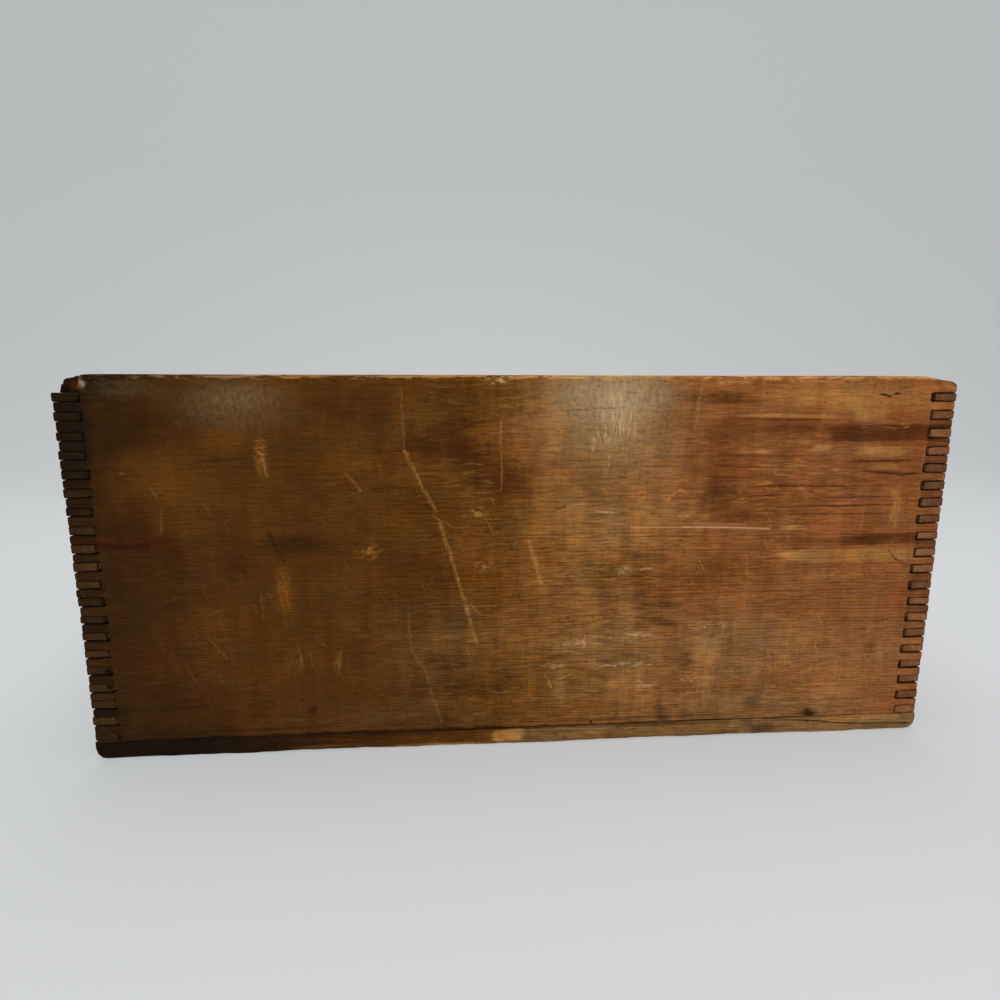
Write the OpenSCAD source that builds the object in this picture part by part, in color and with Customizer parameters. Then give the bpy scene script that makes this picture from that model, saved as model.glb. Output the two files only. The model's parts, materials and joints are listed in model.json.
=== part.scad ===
// Worn wooden coffee box: four finger-jointed walls, a nailed bottom of two boards and an
// inset lid on two butt hinges. Millimetres, +Z up. The origin is the middle of the
// underside, +X runs along the front wall and the front faces -Y.

/* [Box] */
// Outside length, along the front and back walls
box_length = 464; // [400:1:540]
// Outside depth, from front to back
box_depth = 300; // [240:1:380]
// Height of the four walls, without the bottom
wall_height = 194.5; // [150:0.5:250]
// Thickness of the front and back walls
side_thickness = 9; // [8:0.1:12]
// Thickness of the two end walls
end_thickness = 12.7; // [10:0.1:16]
// Thickness of the bottom boards
bottom_thickness = 10; // [8:0.1:14]
// Open seam between the two bottom boards
bottom_seam = 0.4; // [0.2:0.1:0.9]
// Worn rounding of the bottom boards' lower corners, at both ends
bottom_round = 6; // [2:0.1:7]

/* [Finger joints] */
// Height of one finger and one socket together
finger_pitch = 9.525; // [8:0.025:14]
// Play of a finger in the height of its socket
finger_play = 0.45; // [0.2:0.05:0.8]
// Extra depth of the shallowest socket behind the board that fills it
socket_least = 0.5; // [0.3:0.1:0.8]
// Extra depth of the deepest socket behind the board that fills it
socket_most = 1.7; // [0.9:0.1:2.4]
// Rounding that the cutter leaves in the sockets' inner corners
socket_round = 1; // [0.3:0.1:1.4]
// Rounding of the worn finger ends
finger_round = 1.1; // [0.4:0.1:1.8]
// How far the most worn finger ends stand back
finger_wear = 0.5; // [0.1:0.1:1]
// Rounding of the long walls' worn top corners
corner_round = 4; // [1.5:0.1:6]
// Length of the piece broken out of the front wall's top left finger
chip_length = 17; // [10:0.5:24]
// Depth of that piece, from the front face
chip_depth = 6.5; // [3:0.1:7.5]

/* [Lid] */
// Thickness of the lid boards
lid_thickness = 10; // [8:0.1:14]
// Gap between the lid and the walls at its front and ends
lid_gap = 1.6; // [0.8:0.1:3]
// Open seam between the two lid boards
lid_seam = 0.4; // [0.2:0.1:0.9]
// Radius of the finger notch in the lid's front edge
notch_radius = 14; // [10:0.5:20]
// Width of the strips under the lid
batten_width = 30; // [20:0.5:45]
// Thickness of the strips under the lid
batten_thickness = 10; // [8:0.1:14]
// Distance from the box's ends to the middles of the strips
batten_end_inset = 102; // [60:1:140]
// Distance from the strips' ends to the lid's front and rear edges
batten_inset = 22; // [10:0.5:40]
// Width of the rests that the closed lid lies on
rest_width = 12; // [8:0.1:18]
// Height of the rests
rest_height = 14; // [10:0.1:20]
// Play between the rests' ends and the long walls
rest_play = 0.4; // [0.1:0.1:0.9]
// Bevel along the free edges of the strips and rests
strip_bevel = 2; // [0.5:0.1:3]

/* [Hinges] */
// Length of a hinge along its pin
hinge_length = 38; // [30:0.5:50]
// Distance from the box's ends to the middles of the hinges
hinge_end_inset = 87; // [55:1:130]
// Gap under the hinge barrels, between the lid and the back wall
hinge_gap = 3; // [2.6:0.1:4]
// Thickness of the hinge leaves
leaf_thickness = 1.4; // [1:0.1:1.6]
// How far a leaf stays inside the back wall's outer face
leaf_setback = 0.7; // [0.3:0.1:1.2]
// Outside radius of the hinge barrel
barrel_radius = 2.3; // [2.1:0.05:2.6]
// How far the barrel dips below the leaves' undersides
barrel_dip = 0.3; // [0.2:0.05:0.4]
// Radius of the hinge pin
pin_radius = 1.2; // [1:0.05:1.4]
// Radial play of the pin in the barrel
pin_play = 0.05; // [0.02:0.01:0.09]
// Length of the pin's bare tip past each end of the barrel
pin_tip = 0.7; // [0.3:0.1:1.5]
// Number of knuckles in a hinge, odd
knuckle_count = 5; // [3:2:7]
// Play between neighbouring knuckles
knuckle_play = 0.4; // [0.2:0.05:0.6]

/* [Nails and screws] */
// Radius of a nail's shank
nail_radius = 1.1; // [0.8:0.05:1.5]
// Radius of a nail's head
nail_head_radius = 2.4; // [2:0.05:3]
// Thickness of a nail's head
nail_head = 0.9; // [0.6:0.05:1.4]
// Distance of the outermost bottom nails from the box's corners
nail_inset = 50; // [35:1:70]
// Number of bottom nails along the front wall, and along the back wall
long_nail_count = 6; // [3:1:9]
// Number of bottom nails along each end wall, even
short_nail_count = 4; // [2:2:6]
// How far the bottom nails go into the walls
wall_bite = 22; // [12:0.5:30]
// How far the rest nails go into the end walls
rest_bite = 8; // [5:0.1:9]
// Number of nails in a rest
rest_nail_count = 3; // [2:1:5]
// Distance of the outermost rest nails from the rest's ends
rest_nail_inset = 30; // [15:1:50]
// How far the batten nails go into the battens
batten_bite = 6.5; // [4:0.1:7.5]
// Number of nails in a batten, even
batten_nail_count = 4; // [2:2:6]
// Distance of the outermost batten nails from the batten's ends
batten_nail_inset = 22; // [10:1:35]
// Radius of a screw's shank
screw_radius = 1.15; // [0.9:0.05:1.3]
// Radius of a screw's countersunk head
screw_head_radius = 2.3; // [1.9:0.05:2.5]
// Width of the slot in a screw's head
screw_slot = 0.6; // [0.4:0.05:0.9]
// How far the hinge screws go into the wood
screw_bite = 7; // [5:0.1:7.5]
// Distance between the screws of a leaf
screw_spacing = 13; // [9:0.5:13.5]
// Play round nails and screws in their holes
fastener_play = 0.04; // [0.02:0.01:0.08]

/* [Hidden] */
$fn = 48;

// Colours of the wood, inside and out, and of the ironwork
wall_brown = "#6f4a26";
end_brown = "#5c432c";
bottom_brown = "#75502a";
lid_brown = "#7a5631";
strip_brown = "#a07a4c";
hinge_iron = "#4a443d";
nail_iron = "#3a332d";

// A little past a face, so that a cut goes right through it
past = 1;

half_length = box_length / 2;
half_depth = box_depth / 2;
rim = bottom_thickness + wall_height;

// Finger joints: heights are measured from the walls' lower edge, where the lowest finger of
// each end wall starts, and the long walls' top finger takes what is left at the rim
finger_height = finger_pitch / 2;
finger_count = floor((wall_height - finger_pitch) / finger_pitch) + 1;
last_finger = finger_count - 1;
long_root = half_length - end_thickness;
end_root = half_depth - side_thickness;
arc_step = 30;

// Seeds for the uneven fingers and sockets at the two ends of each wall
front_seeds = [11, 12];
back_seeds = [13, 14];
left_seeds = [15, 16];
right_seeds = [17, 18];
socket_seed = 20;

// The break in the top left finger, in shares of the missing piece's length and depth
chip_edge = [[1, 0], [0.75, 0.55], [0.6, 0.9]];

// Lid, between the four walls and level with the rim
lid_end = half_length - end_thickness - lid_gap;
lid_front = -half_depth + side_thickness + lid_gap;
lid_rear = half_depth - side_thickness - hinge_gap;
lid_underside = rim - lid_thickness;
lid_board_depth = (lid_rear - lid_front - lid_seam) / 2;
batten_front = lid_front + batten_inset;
batten_rear = lid_rear - batten_inset;
batten_length = batten_rear - batten_front;
batten_x = half_length - batten_end_inset;
rest_length = box_depth - 2 * side_thickness - 2 * rest_play;

// Hinges: the pin's line, and the leaves as seen from it
hinge_x = half_length - hinge_end_inset;
hinge_y = half_depth - side_thickness - hinge_gap / 2;
hinge_z = rim + barrel_radius - barrel_dip;
leaf_low = barrel_dip - barrel_radius;
leaf_top = leaf_low + leaf_thickness;
leaf_start = barrel_radius + knuckle_play;
leaf_reach = side_thickness + hinge_gap / 2 - leaf_setback;
knuckle_pitch = hinge_length / knuckle_count;
knuckle_length = knuckle_pitch - knuckle_play;
screw_line = (leaf_start + leaf_reach) / 2;
side_screws = 1;
slot_turn = 35;

// Even places from one end of a row to the other
function row(first, last, count) = [for (i = [0 : count - 1]) first + (last - first) * i / (count - 1)];

// A quarter circle of radius r about (u, v), from the angle given, way 1 for an outer corner
// and -1 for an inner one
function quarter(u, v, r, from, way = 1) =
    [for (turn = [0 : arc_step : 90]) [u + r * cos(from + way * turn), v + r * sin(from + way * turn)]];

// The rounded end of a finger that reaches out to u, between two heights
function finger_end(u, low, high, low_r, high_r) = concat(
    quarter(u - low_r, low + low_r, low_r, -90),
    quarter(u - high_r, high - high_r, high_r, 0)
);

// The rounded floor of a socket that was cut in to u, between two heights
function socket_floor(u, low, high, r) = concat(
    quarter(u + r, low + r, r, 270, -1),
    quarter(u + r, high - r, r, 180, -1)
);

// How far a finger end has worn back, and how much too deep a socket was cut
function worn(k, seed) = finger_wear * rands(0, 1, finger_count, seed)[k];
function overcut(k, seed) = rands(socket_least, socket_most, finger_count, seed + socket_seed)[k];

// Lower and upper limits of the socket for an end wall's finger k
function socket_low(k) = k * finger_pitch - finger_play / 2;
function socket_high(k) = k * finger_pitch + finger_height + finger_play / 2;

// A long wall's edge from bottom to top: a socket, then a finger, up to the rim
function long_edge(seed) = [for (k = [0 : last_finger])
    let (
        floor_u = long_root - overcut(k, seed),
        floor_r = min(socket_round, overcut(k, seed)),
        is_last = k == last_finger
    )
    each concat(
        k == 0 ? [[floor_u, 0]] : [],
        k == 0
            ? quarter(floor_u + floor_r, socket_high(k) - floor_r, floor_r, 180, -1)
            : socket_floor(floor_u, socket_low(k), socket_high(k), floor_r),
        finger_end(
            half_length - worn(k, seed),
            socket_high(k),
            is_last ? wall_height : socket_low(k + 1),
            finger_round,
            is_last ? corner_round : finger_round
        )
    )
];

// An end wall's edge from bottom to top: a finger, then a socket, up to the rim
function end_edge(seed) = [for (k = [0 : last_finger])
    let (
        low = k * finger_pitch,
        high = low + finger_height,
        floor_u = end_root - overcut(k, seed),
        floor_r = min(socket_round, overcut(k, seed))
    )
    each concat(
        finger_end(half_depth - worn(k, seed), low, high, finger_round, finger_round),
        k == last_finger
            ? concat(quarter(floor_u + floor_r, high + floor_r, floor_r, 270, -1), [[floor_u, wall_height]])
            : socket_floor(floor_u, high, low + finger_pitch, floor_r)
    )
];

// An edge mirrored and read from top to bottom, to close a wall's outline
function far_edge(edge) = [for (i = [len(edge) - 1 : -1 : 0]) [-edge[i].x, edge[i].y]];

// A nail that points up, its head's face at z = 0
module nail(bite) {
    cylinder(r = nail_head_radius, h = nail_head);
    cylinder(r = nail_radius, h = bite);
}

// The hole that a nail fills
module nail_hole(bite) {
    translate([0, 0, -past])
        cylinder(r = nail_head_radius + fastener_play, h = past + nail_head + fastener_play);
    cylinder(r = nail_radius + fastener_play, h = bite + fastener_play);
}

// A countersunk screw that points down, its head's face at z = 0
module screw() {
    difference() {
        union() {
            translate([0, 0, -leaf_thickness])
                cylinder(r1 = screw_radius, r2 = screw_head_radius, h = leaf_thickness);
            translate([0, 0, -leaf_thickness - screw_bite])
                cylinder(r = screw_radius, h = screw_bite + leaf_thickness / 2);
        }
        translate([-screw_head_radius - past, -screw_slot / 2, -leaf_thickness / 2])
            cube([2 * screw_head_radius + 2 * past, screw_slot, leaf_thickness]);
    }
}

// The countersunk hole that a screw's head fills in a leaf
module countersink() {
    translate([0, 0, -leaf_thickness])
        cylinder(
            r1 = screw_radius + fastener_play,
            r2 = screw_head_radius + fastener_play,
            h = leaf_thickness
        );
    translate([0, 0, -leaf_thickness - past])
        cylinder(r = screw_radius + fastener_play, h = leaf_thickness / 2 + past);
}

// Places of the bottom nails along one long wall, side -1 at the front and 1 at the back
module at_long_nails(side) {
    for (x = row(nail_inset - half_length, half_length - nail_inset, long_nail_count))
        translate([x, side * (half_depth - side_thickness / 2), 0])
            children();
}

// Places of the bottom nails along one end wall, side -1 at the left and 1 at the right
module at_short_nails(side) {
    for (y = row(nail_inset - half_depth, half_depth - nail_inset, short_nail_count))
        translate([side * (half_length - end_thickness / 2), y, 0])
            children();
}

module at_bottom_nails() {
    for (side = [-1, 1]) {
        at_long_nails(side) children();
        at_short_nails(side) children();
    }
}

// Places of the nails in one rest, driven outwards into the end wall
module at_rest_nails(side) {
    limit = rest_length / 2 - rest_nail_inset;
    for (y = row(-limit, limit, rest_nail_count))
        translate([side * (half_length - end_thickness - rest_width), y, lid_underside - rest_height / 2])
            rotate([0, side * 90, 0])
                children();
}

// Places of the nails that go down through the lid into one batten
module at_batten_nails(side) {
    for (y = row(batten_front + batten_nail_inset, batten_rear - batten_nail_inset, batten_nail_count))
        translate([side * batten_x, y, rim])
            rotate([180, 0, 0])
                children();
}

module at_hinge(side) {
    translate([side * hinge_x, hinge_y, hinge_z])
        children();
}

// Places of one leaf's screws as seen from the pin, way 1 on the box and -1 on the lid
module at_leaf_screws(way) {
    for (i = [-side_screws : side_screws])
        translate([i * screw_spacing, way * screw_line, leaf_top])
            rotate([0, 0, i * slot_turn])
                children();
}

// The pilot holes that both hinges' screws fill in the wood
module screw_pilots(way) {
    for (side = [-1, 1])
        at_hinge(side)
            at_leaf_screws(way)
                translate([0, 0, -leaf_thickness - screw_bite - fastener_play])
                    cylinder(r = screw_radius + fastener_play, h = screw_bite + past);
}

// A long wall that stands at the front, with its outer face at the front of the box
module long_wall(seeds) {
    translate([0, side_thickness - half_depth, bottom_thickness])
        rotate([90, 0, 0])
            linear_extrude(side_thickness)
                polygon(concat(long_edge(seeds[1]), far_edge(long_edge(seeds[0]))));
}

// An end wall that stands at the right, with its outer face at the end of the box
module end_wall(seeds) {
    translate([half_length - end_thickness, 0, bottom_thickness])
        rotate([90, 0, 90])
            linear_extrude(end_thickness)
                polygon(concat(end_edge(seeds[1]), far_edge(end_edge(seeds[0]))));
}

// The piece that has split off the front wall's top left finger, along the grain
module broken_chip() {
    low = bottom_thickness + socket_high(last_finger);
    translate([-half_length, -half_depth, low - finger_play / 2])
        linear_extrude(wall_height)
            polygon(concat(
                [[-past, -past], [chip_length, -past]],
                [for (share = chip_edge) [chip_length * share.x, chip_depth * share.y]],
                [[-past, chip_depth]]
            ));
}

module front_wall() {
    color(wall_brown)
        difference() {
            long_wall(front_seeds);
            broken_chip();
            at_long_nails(-1) nail_hole(bottom_thickness + wall_bite);
        }
}

module back_wall() {
    color(wall_brown)
        difference() {
            rotate([0, 0, 180]) long_wall(back_seeds);
            at_long_nails(1) nail_hole(bottom_thickness + wall_bite);
            screw_pilots(1);
        }
}

module left_end() {
    color(end_brown)
        difference() {
            rotate([0, 0, 180]) end_wall(left_seeds);
            at_short_nails(-1) nail_hole(bottom_thickness + wall_bite);
            at_rest_nails(-1) nail_hole(rest_width + rest_bite);
        }
}

module right_end() {
    color(end_brown)
        difference() {
            end_wall(right_seeds);
            at_short_nails(1) nail_hole(bottom_thickness + wall_bite);
            at_rest_nails(1) nail_hole(rest_width + rest_bite);
        }
}

// A bottom board with worn lower corners, from front to front + depth
module bottom_board(front, depth) {
    r = min(bottom_round, bottom_thickness - past);
    difference() {
        translate([0, front + depth, 0])
            rotate([90, 0, 0])
                linear_extrude(depth)
                    polygon(concat(
                        [[half_length, bottom_thickness], [-half_length, bottom_thickness]],
                        quarter(r - half_length, r, r, 180),
                        quarter(half_length - r, r, r, 270)
                    ));
        at_bottom_nails() nail_hole(bottom_thickness + wall_bite);
    }
}

module bottom_front_board() {
    color(bottom_brown) bottom_board(-half_depth, half_depth - bottom_seam / 2);
}

module bottom_rear_board() {
    color(bottom_brown) bottom_board(bottom_seam / 2, half_depth - bottom_seam / 2);
}

module bottom_nails() {
    color(nail_iron) at_bottom_nails() nail(bottom_thickness + wall_bite);
}

// A rest on an end wall, bevelled along its free lower edge, side 1 at the right
module lid_rest(side) {
    color(strip_brown)
        difference() {
            translate([side * (half_length - end_thickness), rest_length / 2, lid_underside])
                rotate([90, 0, 0])
                    linear_extrude(rest_length)
                        polygon([
                            [0, 0],
                            [-side * rest_width, 0],
                            [-side * rest_width, strip_bevel - rest_height],
                            [-side * (rest_width - strip_bevel), -rest_height],
                            [0, -rest_height]
                        ]);
            at_rest_nails(side) nail_hole(rest_width + rest_bite);
        }
}

module lid_rest_left() {
    lid_rest(-1);
}

module lid_rest_right() {
    lid_rest(1);
}

module rest_nails() {
    color(nail_iron)
        for (side = [-1, 1])
            at_rest_nails(side) nail(rest_width + rest_bite);
}

// A lid board from front to front + lid_board_depth, with its holes for nails and screws
module lid_board(front) {
    difference() {
        translate([-lid_end, front, lid_underside])
            cube([2 * lid_end, lid_board_depth, lid_thickness]);
        for (side = [-1, 1])
            at_batten_nails(side) nail_hole(lid_thickness + batten_bite);
        screw_pilots(-1);
    }
}

module lid_front_board() {
    color(lid_brown)
        difference() {
            lid_board(lid_front);
            translate([0, lid_front, lid_underside - past])
                cylinder(r = notch_radius, h = lid_thickness + 2 * past);
        }
}

module lid_rear_board() {
    color(lid_brown) lid_board(lid_rear - lid_board_depth);
}

// A strip under the lid, bevelled along both lower edges
module lid_batten(side) {
    color(strip_brown)
        difference() {
            translate([side * batten_x, batten_rear, lid_underside])
                rotate([90, 0, 0])
                    linear_extrude(batten_length)
                        polygon([
                            [batten_width / 2, 0],
                            [-batten_width / 2, 0],
                            [-batten_width / 2, strip_bevel - batten_thickness],
                            [strip_bevel - batten_width / 2, -batten_thickness],
                            [batten_width / 2 - strip_bevel, -batten_thickness],
                            [batten_width / 2, strip_bevel - batten_thickness]
                        ]);
            at_batten_nails(side) nail_hole(lid_thickness + batten_bite);
        }
}

module lid_batten_left() {
    lid_batten(-1);
}

module lid_batten_right() {
    lid_batten(1);
}

module batten_nails() {
    color(nail_iron)
        for (side = [-1, 1])
            at_batten_nails(side) nail(lid_thickness + batten_bite);
}

// One knuckle of the barrel and the neck that joins it to its leaf
module knuckle(k, way) {
    translate([k * knuckle_pitch - hinge_length / 2 + knuckle_play / 2, 0, 0]) {
        rotate([0, 90, 0])
            cylinder(r = barrel_radius, h = knuckle_length);
        translate([0, way > 0 ? 0 : -screw_line, leaf_low])
            cube([knuckle_length, screw_line, leaf_thickness]);
    }
}

// A hinge leaf as seen from the pin, with every second knuckle from first
module hinge_leaf(way, first) {
    color(hinge_iron)
        difference() {
            union() {
                translate([-hinge_length / 2, way > 0 ? leaf_start : -leaf_reach, leaf_low])
                    cube([hinge_length, leaf_reach - leaf_start, leaf_thickness]);
                for (k = [first : 2 : knuckle_count - 1])
                    knuckle(k, way);
            }
            rotate([0, 90, 0])
                cylinder(r = pin_radius + pin_play, h = hinge_length + 2 * past, center = true);
            at_leaf_screws(way) countersink();
        }
}

module hinge_box_leaf_left() {
    at_hinge(-1) hinge_leaf(1, 0);
}

module hinge_box_leaf_right() {
    at_hinge(1) hinge_leaf(1, 0);
}

module hinge_lid_leaf_left() {
    at_hinge(-1) hinge_leaf(-1, 1);
}

module hinge_lid_leaf_right() {
    at_hinge(1) hinge_leaf(-1, 1);
}

// A hinge pin with tapered tips past both ends of the barrel
module hinge_pin() {
    color(hinge_iron)
        rotate([0, 90, 0])
            rotate_extrude()
                polygon([
                    [0, -hinge_length / 2 - pin_tip],
                    [pin_radius / 2, -hinge_length / 2 - pin_tip],
                    [pin_radius, -hinge_length / 2],
                    [pin_radius, hinge_length / 2],
                    [pin_radius / 2, hinge_length / 2 + pin_tip],
                    [0, hinge_length / 2 + pin_tip]
                ]);
}

module hinge_pin_left() {
    at_hinge(-1) hinge_pin();
}

module hinge_pin_right() {
    at_hinge(1) hinge_pin();
}

module leaf_screws(way) {
    color(nail_iron)
        for (side = [-1, 1])
            at_hinge(side)
                at_leaf_screws(way)
                    screw();
}

module box_leaf_screws() {
    leaf_screws(1);
}

module lid_leaf_screws() {
    leaf_screws(-1);
}

front_wall();
back_wall();
left_end();
right_end();
bottom_front_board();
bottom_rear_board();
bottom_nails();
lid_rest_left();
lid_rest_right();
rest_nails();
lid_front_board();
lid_rear_board();
lid_batten_left();
lid_batten_right();
batten_nails();
hinge_box_leaf_left();
hinge_box_leaf_right();
hinge_lid_leaf_left();
hinge_lid_leaf_right();
hinge_pin_left();
hinge_pin_right();
box_leaf_screws();
lid_leaf_screws();
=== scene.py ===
"""Dresses a worn wooden coffee box: boards with worn arrises, finger joints, stains and
scratches, aged ironwork and a pale stage. Metres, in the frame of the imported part."""

import json
import math
from typing import NamedTuple

import bmesh
import bpy
import numpy as np
from bpy.props import FloatProperty, FloatVectorProperty, PointerProperty
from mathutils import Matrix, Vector

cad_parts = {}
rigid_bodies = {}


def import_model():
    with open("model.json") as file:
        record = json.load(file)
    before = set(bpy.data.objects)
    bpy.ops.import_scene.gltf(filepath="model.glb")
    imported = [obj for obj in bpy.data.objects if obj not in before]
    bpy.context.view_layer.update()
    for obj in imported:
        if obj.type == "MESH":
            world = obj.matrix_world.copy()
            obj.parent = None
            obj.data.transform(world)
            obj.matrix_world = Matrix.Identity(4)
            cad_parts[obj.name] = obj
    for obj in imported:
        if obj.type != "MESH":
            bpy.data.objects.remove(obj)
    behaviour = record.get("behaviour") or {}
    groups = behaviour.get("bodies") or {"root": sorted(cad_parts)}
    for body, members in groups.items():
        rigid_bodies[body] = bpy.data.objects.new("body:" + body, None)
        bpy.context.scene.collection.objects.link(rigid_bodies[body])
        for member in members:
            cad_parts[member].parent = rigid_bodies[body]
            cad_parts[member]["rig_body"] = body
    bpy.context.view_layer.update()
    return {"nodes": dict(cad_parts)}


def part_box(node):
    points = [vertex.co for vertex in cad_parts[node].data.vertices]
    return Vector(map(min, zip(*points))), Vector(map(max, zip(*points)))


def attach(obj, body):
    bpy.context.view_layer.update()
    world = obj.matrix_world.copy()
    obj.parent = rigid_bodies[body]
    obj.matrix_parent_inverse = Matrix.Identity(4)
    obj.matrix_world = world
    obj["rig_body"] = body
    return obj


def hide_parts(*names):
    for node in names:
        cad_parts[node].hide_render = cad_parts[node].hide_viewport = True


bl_info = {
    "name": "Worn coffee box",
    "version": (1, 0, 0),
    "blender": (4, 5, 0),
    "location": "View3D > Sidebar > Coffee box",
    "description": "Dresses the boards and ironwork of a finger-jointed box and sets its stage",
    "category": "Object",
}

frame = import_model()
MM = 0.001
X, Y, Z = 0, 1, 2
ORIGIN = (0, 0, 0)
# Share of a face's normal along an axis from which it lies square to that axis.
LEVEL = 0.99
# How square a stain's corners are: an ellipse, and nearly a rectangle.
ROUND, SQUARE = 2.0, 5.0
# The front wall: heights of its rim and lower edge, its front face and its right end.
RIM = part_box("front_wall")[1].z
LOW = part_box("front_wall")[0].z
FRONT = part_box("front_wall")[0].y
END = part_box("front_wall")[1].x
# Fingers: the height of one, the number of the highest whole one, how far the dark joints (dirt and painted
# shade) reach in from the ends of the long walls and of the end walls, and half the width of a line between
# two fingers.
FINGER = 4.7625 * MM
TOP_FINGER = int((RIM - LOW) / FINGER) - 1
LONG_JOINT = 13.8 * MM
END_JOINT = 9.8 * MM
JOINT_LINE = 0.6 * MM
# How worn arrises are cut, as shares of their radius, and the lengths of the waves along them in metres.
ARRIS_STEPS = (0.25, 0.55, 0.95, 1.5)
ARRIS_WAVES = (0.19, 0.083, 0.041, 0.019, 0.011)
# How far apart the boards are taken from the same wood, along the grain and in metres.
APART = 0.7
# Distances from the ends of the front wall, in millimetres, at which its worn top corners are cut.
CORNER_CUTS = (13, 11.5, 10, 8.5, 7, 5.4, 4.2, 3.1, 2.1, 1.3, 0.6)
# Worn top corners of the front: side, sag, the run of the sag, the run of the curve, and its fall.
RIGHT_SLUMP = (1, 2.4 * MM, 21 * MM, 4.4 * MM, 3.0 * MM)
LEFT_SLUMP = (-1, 1.5 * MM, 13.5 * MM, 3.6 * MM, 2.8 * MM)


def tone(code):
    """Linear colour of a six-figure sRGB code."""
    parts = [int(code[i:i + 2], 16) / 255 for i in (0, 2, 4)]
    return tuple(p / 12.92 if p <= 0.04045 else ((p + 0.055) / 1.055) ** 2.4 for p in parts)


def colour(code, name, description):
    """Setting for a colour, given as an sRGB code."""
    return FloatVectorProperty(
        name=name, description=description, subtype="COLOR", size=3, min=0, max=1, default=tone(code)
    )


def length(millimetres, name, description):
    """Setting for a length, given in millimetres."""
    return FloatProperty(
        name=name, description=description, unit="LENGTH", min=0, precision=5, default=millimetres * MM
    )


class WoodSettings(bpy.types.PropertyGroup):
    """Colours of the wood and of what has marked it"""

    # This near-black tone is dirt, and also painted shade in nail holes, crevices, finger gaps and seams.
    soot_and_shade: colour("1a0f05", "Soot", "Blackest grease and dirt")
    # At the left of the front wall this dark tone also holds painted shade where the light falls off.
    umber: colour("331e0a", "Umber", "Dark varnish at the left of the front wall")
    walnut: colour("5b3611", "Walnut", "Warm dark varnish")
    russet: colour("4d240b", "Russet", "Reddish dark stains")
    chestnut: colour("754717", "Chestnut", "Middle brown of the varnish")
    hazel: colour("8c5d2b", "Hazel", "Worn varnish in the middle of the front wall")
    honey: colour("a17340", "Honey", "Lighter worn varnish")
    amber: colour("8c532a", "Amber", "Orange brown of the right side")
    dust: colour("8f6d44", "Dust", "Dull worn varnish low on the front wall")
    gold: colour("8f5613", "Gold", "Varnish rubbed thin on the dark left side")
    ochre: colour("c28c49", "Ochre", "Bright worn streaks and arrises")
    bare: colour("dcb384", "Bare", "Wood scraped bare")
    # This pale tone is scuffed varnish and also a painted reflection of the light in the varnish below the
    # rim.
    bloom_and_reflection: colour("b8a683", "Haze", "Pale bloom of scuffed varnish")
    # This greenish tone is bloom on the dark varnish and also a painted reflection of the light below the
    # rim.
    green_bloom_and_reflection: colour("86704a", "Moss", "Greenish bloom on the darkest varnish")
    inside: colour("96703f", "Inside", "Bare wood inside the box, darkened with age")
    end_grain: colour("835635", "End grain", "End grain of the fingers")
    grime: colour("4d351d", "Grime", "Dirty end grain at the left")


class WearSettings(bpy.types.PropertyGroup):
    """Sizes of the wear on the boards"""

    arris: length(1.0, "Arris", "Radius to which the boards' edges have worn")
    rim_arris: length(2.0, "Rim arris", "Radius to which the rim has worn")
    joint_bevel: length(0.3, "Joint bevel", "Worn bevel round the fingers")
    tip: length(0.7, "Tip", "Most that the tip of a finger has worn back")
    slice: length(3.0, "Slice", "Spacing of the points along a worn arris")
    hollow: length(0.25, "Hollow", "Depth of the hollows in the boards' faces")
    ring: length(1.55, "Ring", "Spacing of the growth rings")
    iron_bevel: length(0.16, "Iron bevel", "Worn edges of the ironwork")


class IronSettings(bpy.types.PropertyGroup):
    """Colours of the ironwork"""

    scale: colour("3a3530", "Scale", "Dark skin of the iron")
    rust: colour("5f3a20", "Rust", "Rust in the pits")
    rubbed: colour("77716a", "Rubbed", "Iron rubbed bright on its edges")


class StageSettings(bpy.types.PropertyGroup):
    """Floor, lights and camera"""

    floor: colour("d8d9da", "Floor", "Pale floor and backdrop")
    glow: colour("d6dadb", "Floor as seen", "Paler tone that the camera sees in the floor and backdrop")
    focal: FloatProperty(name="Focal length", description="Camera lens in millimetres", default=21.06)
    eye: FloatVectorProperty(
        name="Eye", description="Place of the camera", subtype="TRANSLATION", unit="LENGTH",
        default=(-0.0329, -0.4516, 0.1934)
    )
    down: FloatProperty(
        name="Down", description="How far the camera looks down", subtype="ANGLE", default=math.radians(9.98)
    )
    aside: FloatProperty(
        name="Aside", description="How far the camera looks to the right", subtype="ANGLE",
        default=math.radians(3.72)
    )
    top_power: FloatProperty(
        name="Top light", description="Power of the light above", unit="POWER", default=16
    )
    front_power: FloatProperty(
        name="Front light", description="Power of the light in front", unit="POWER", default=13
    )
    world: FloatProperty(name="Surroundings", description="Strength of the light all round", default=0.38)


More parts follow.
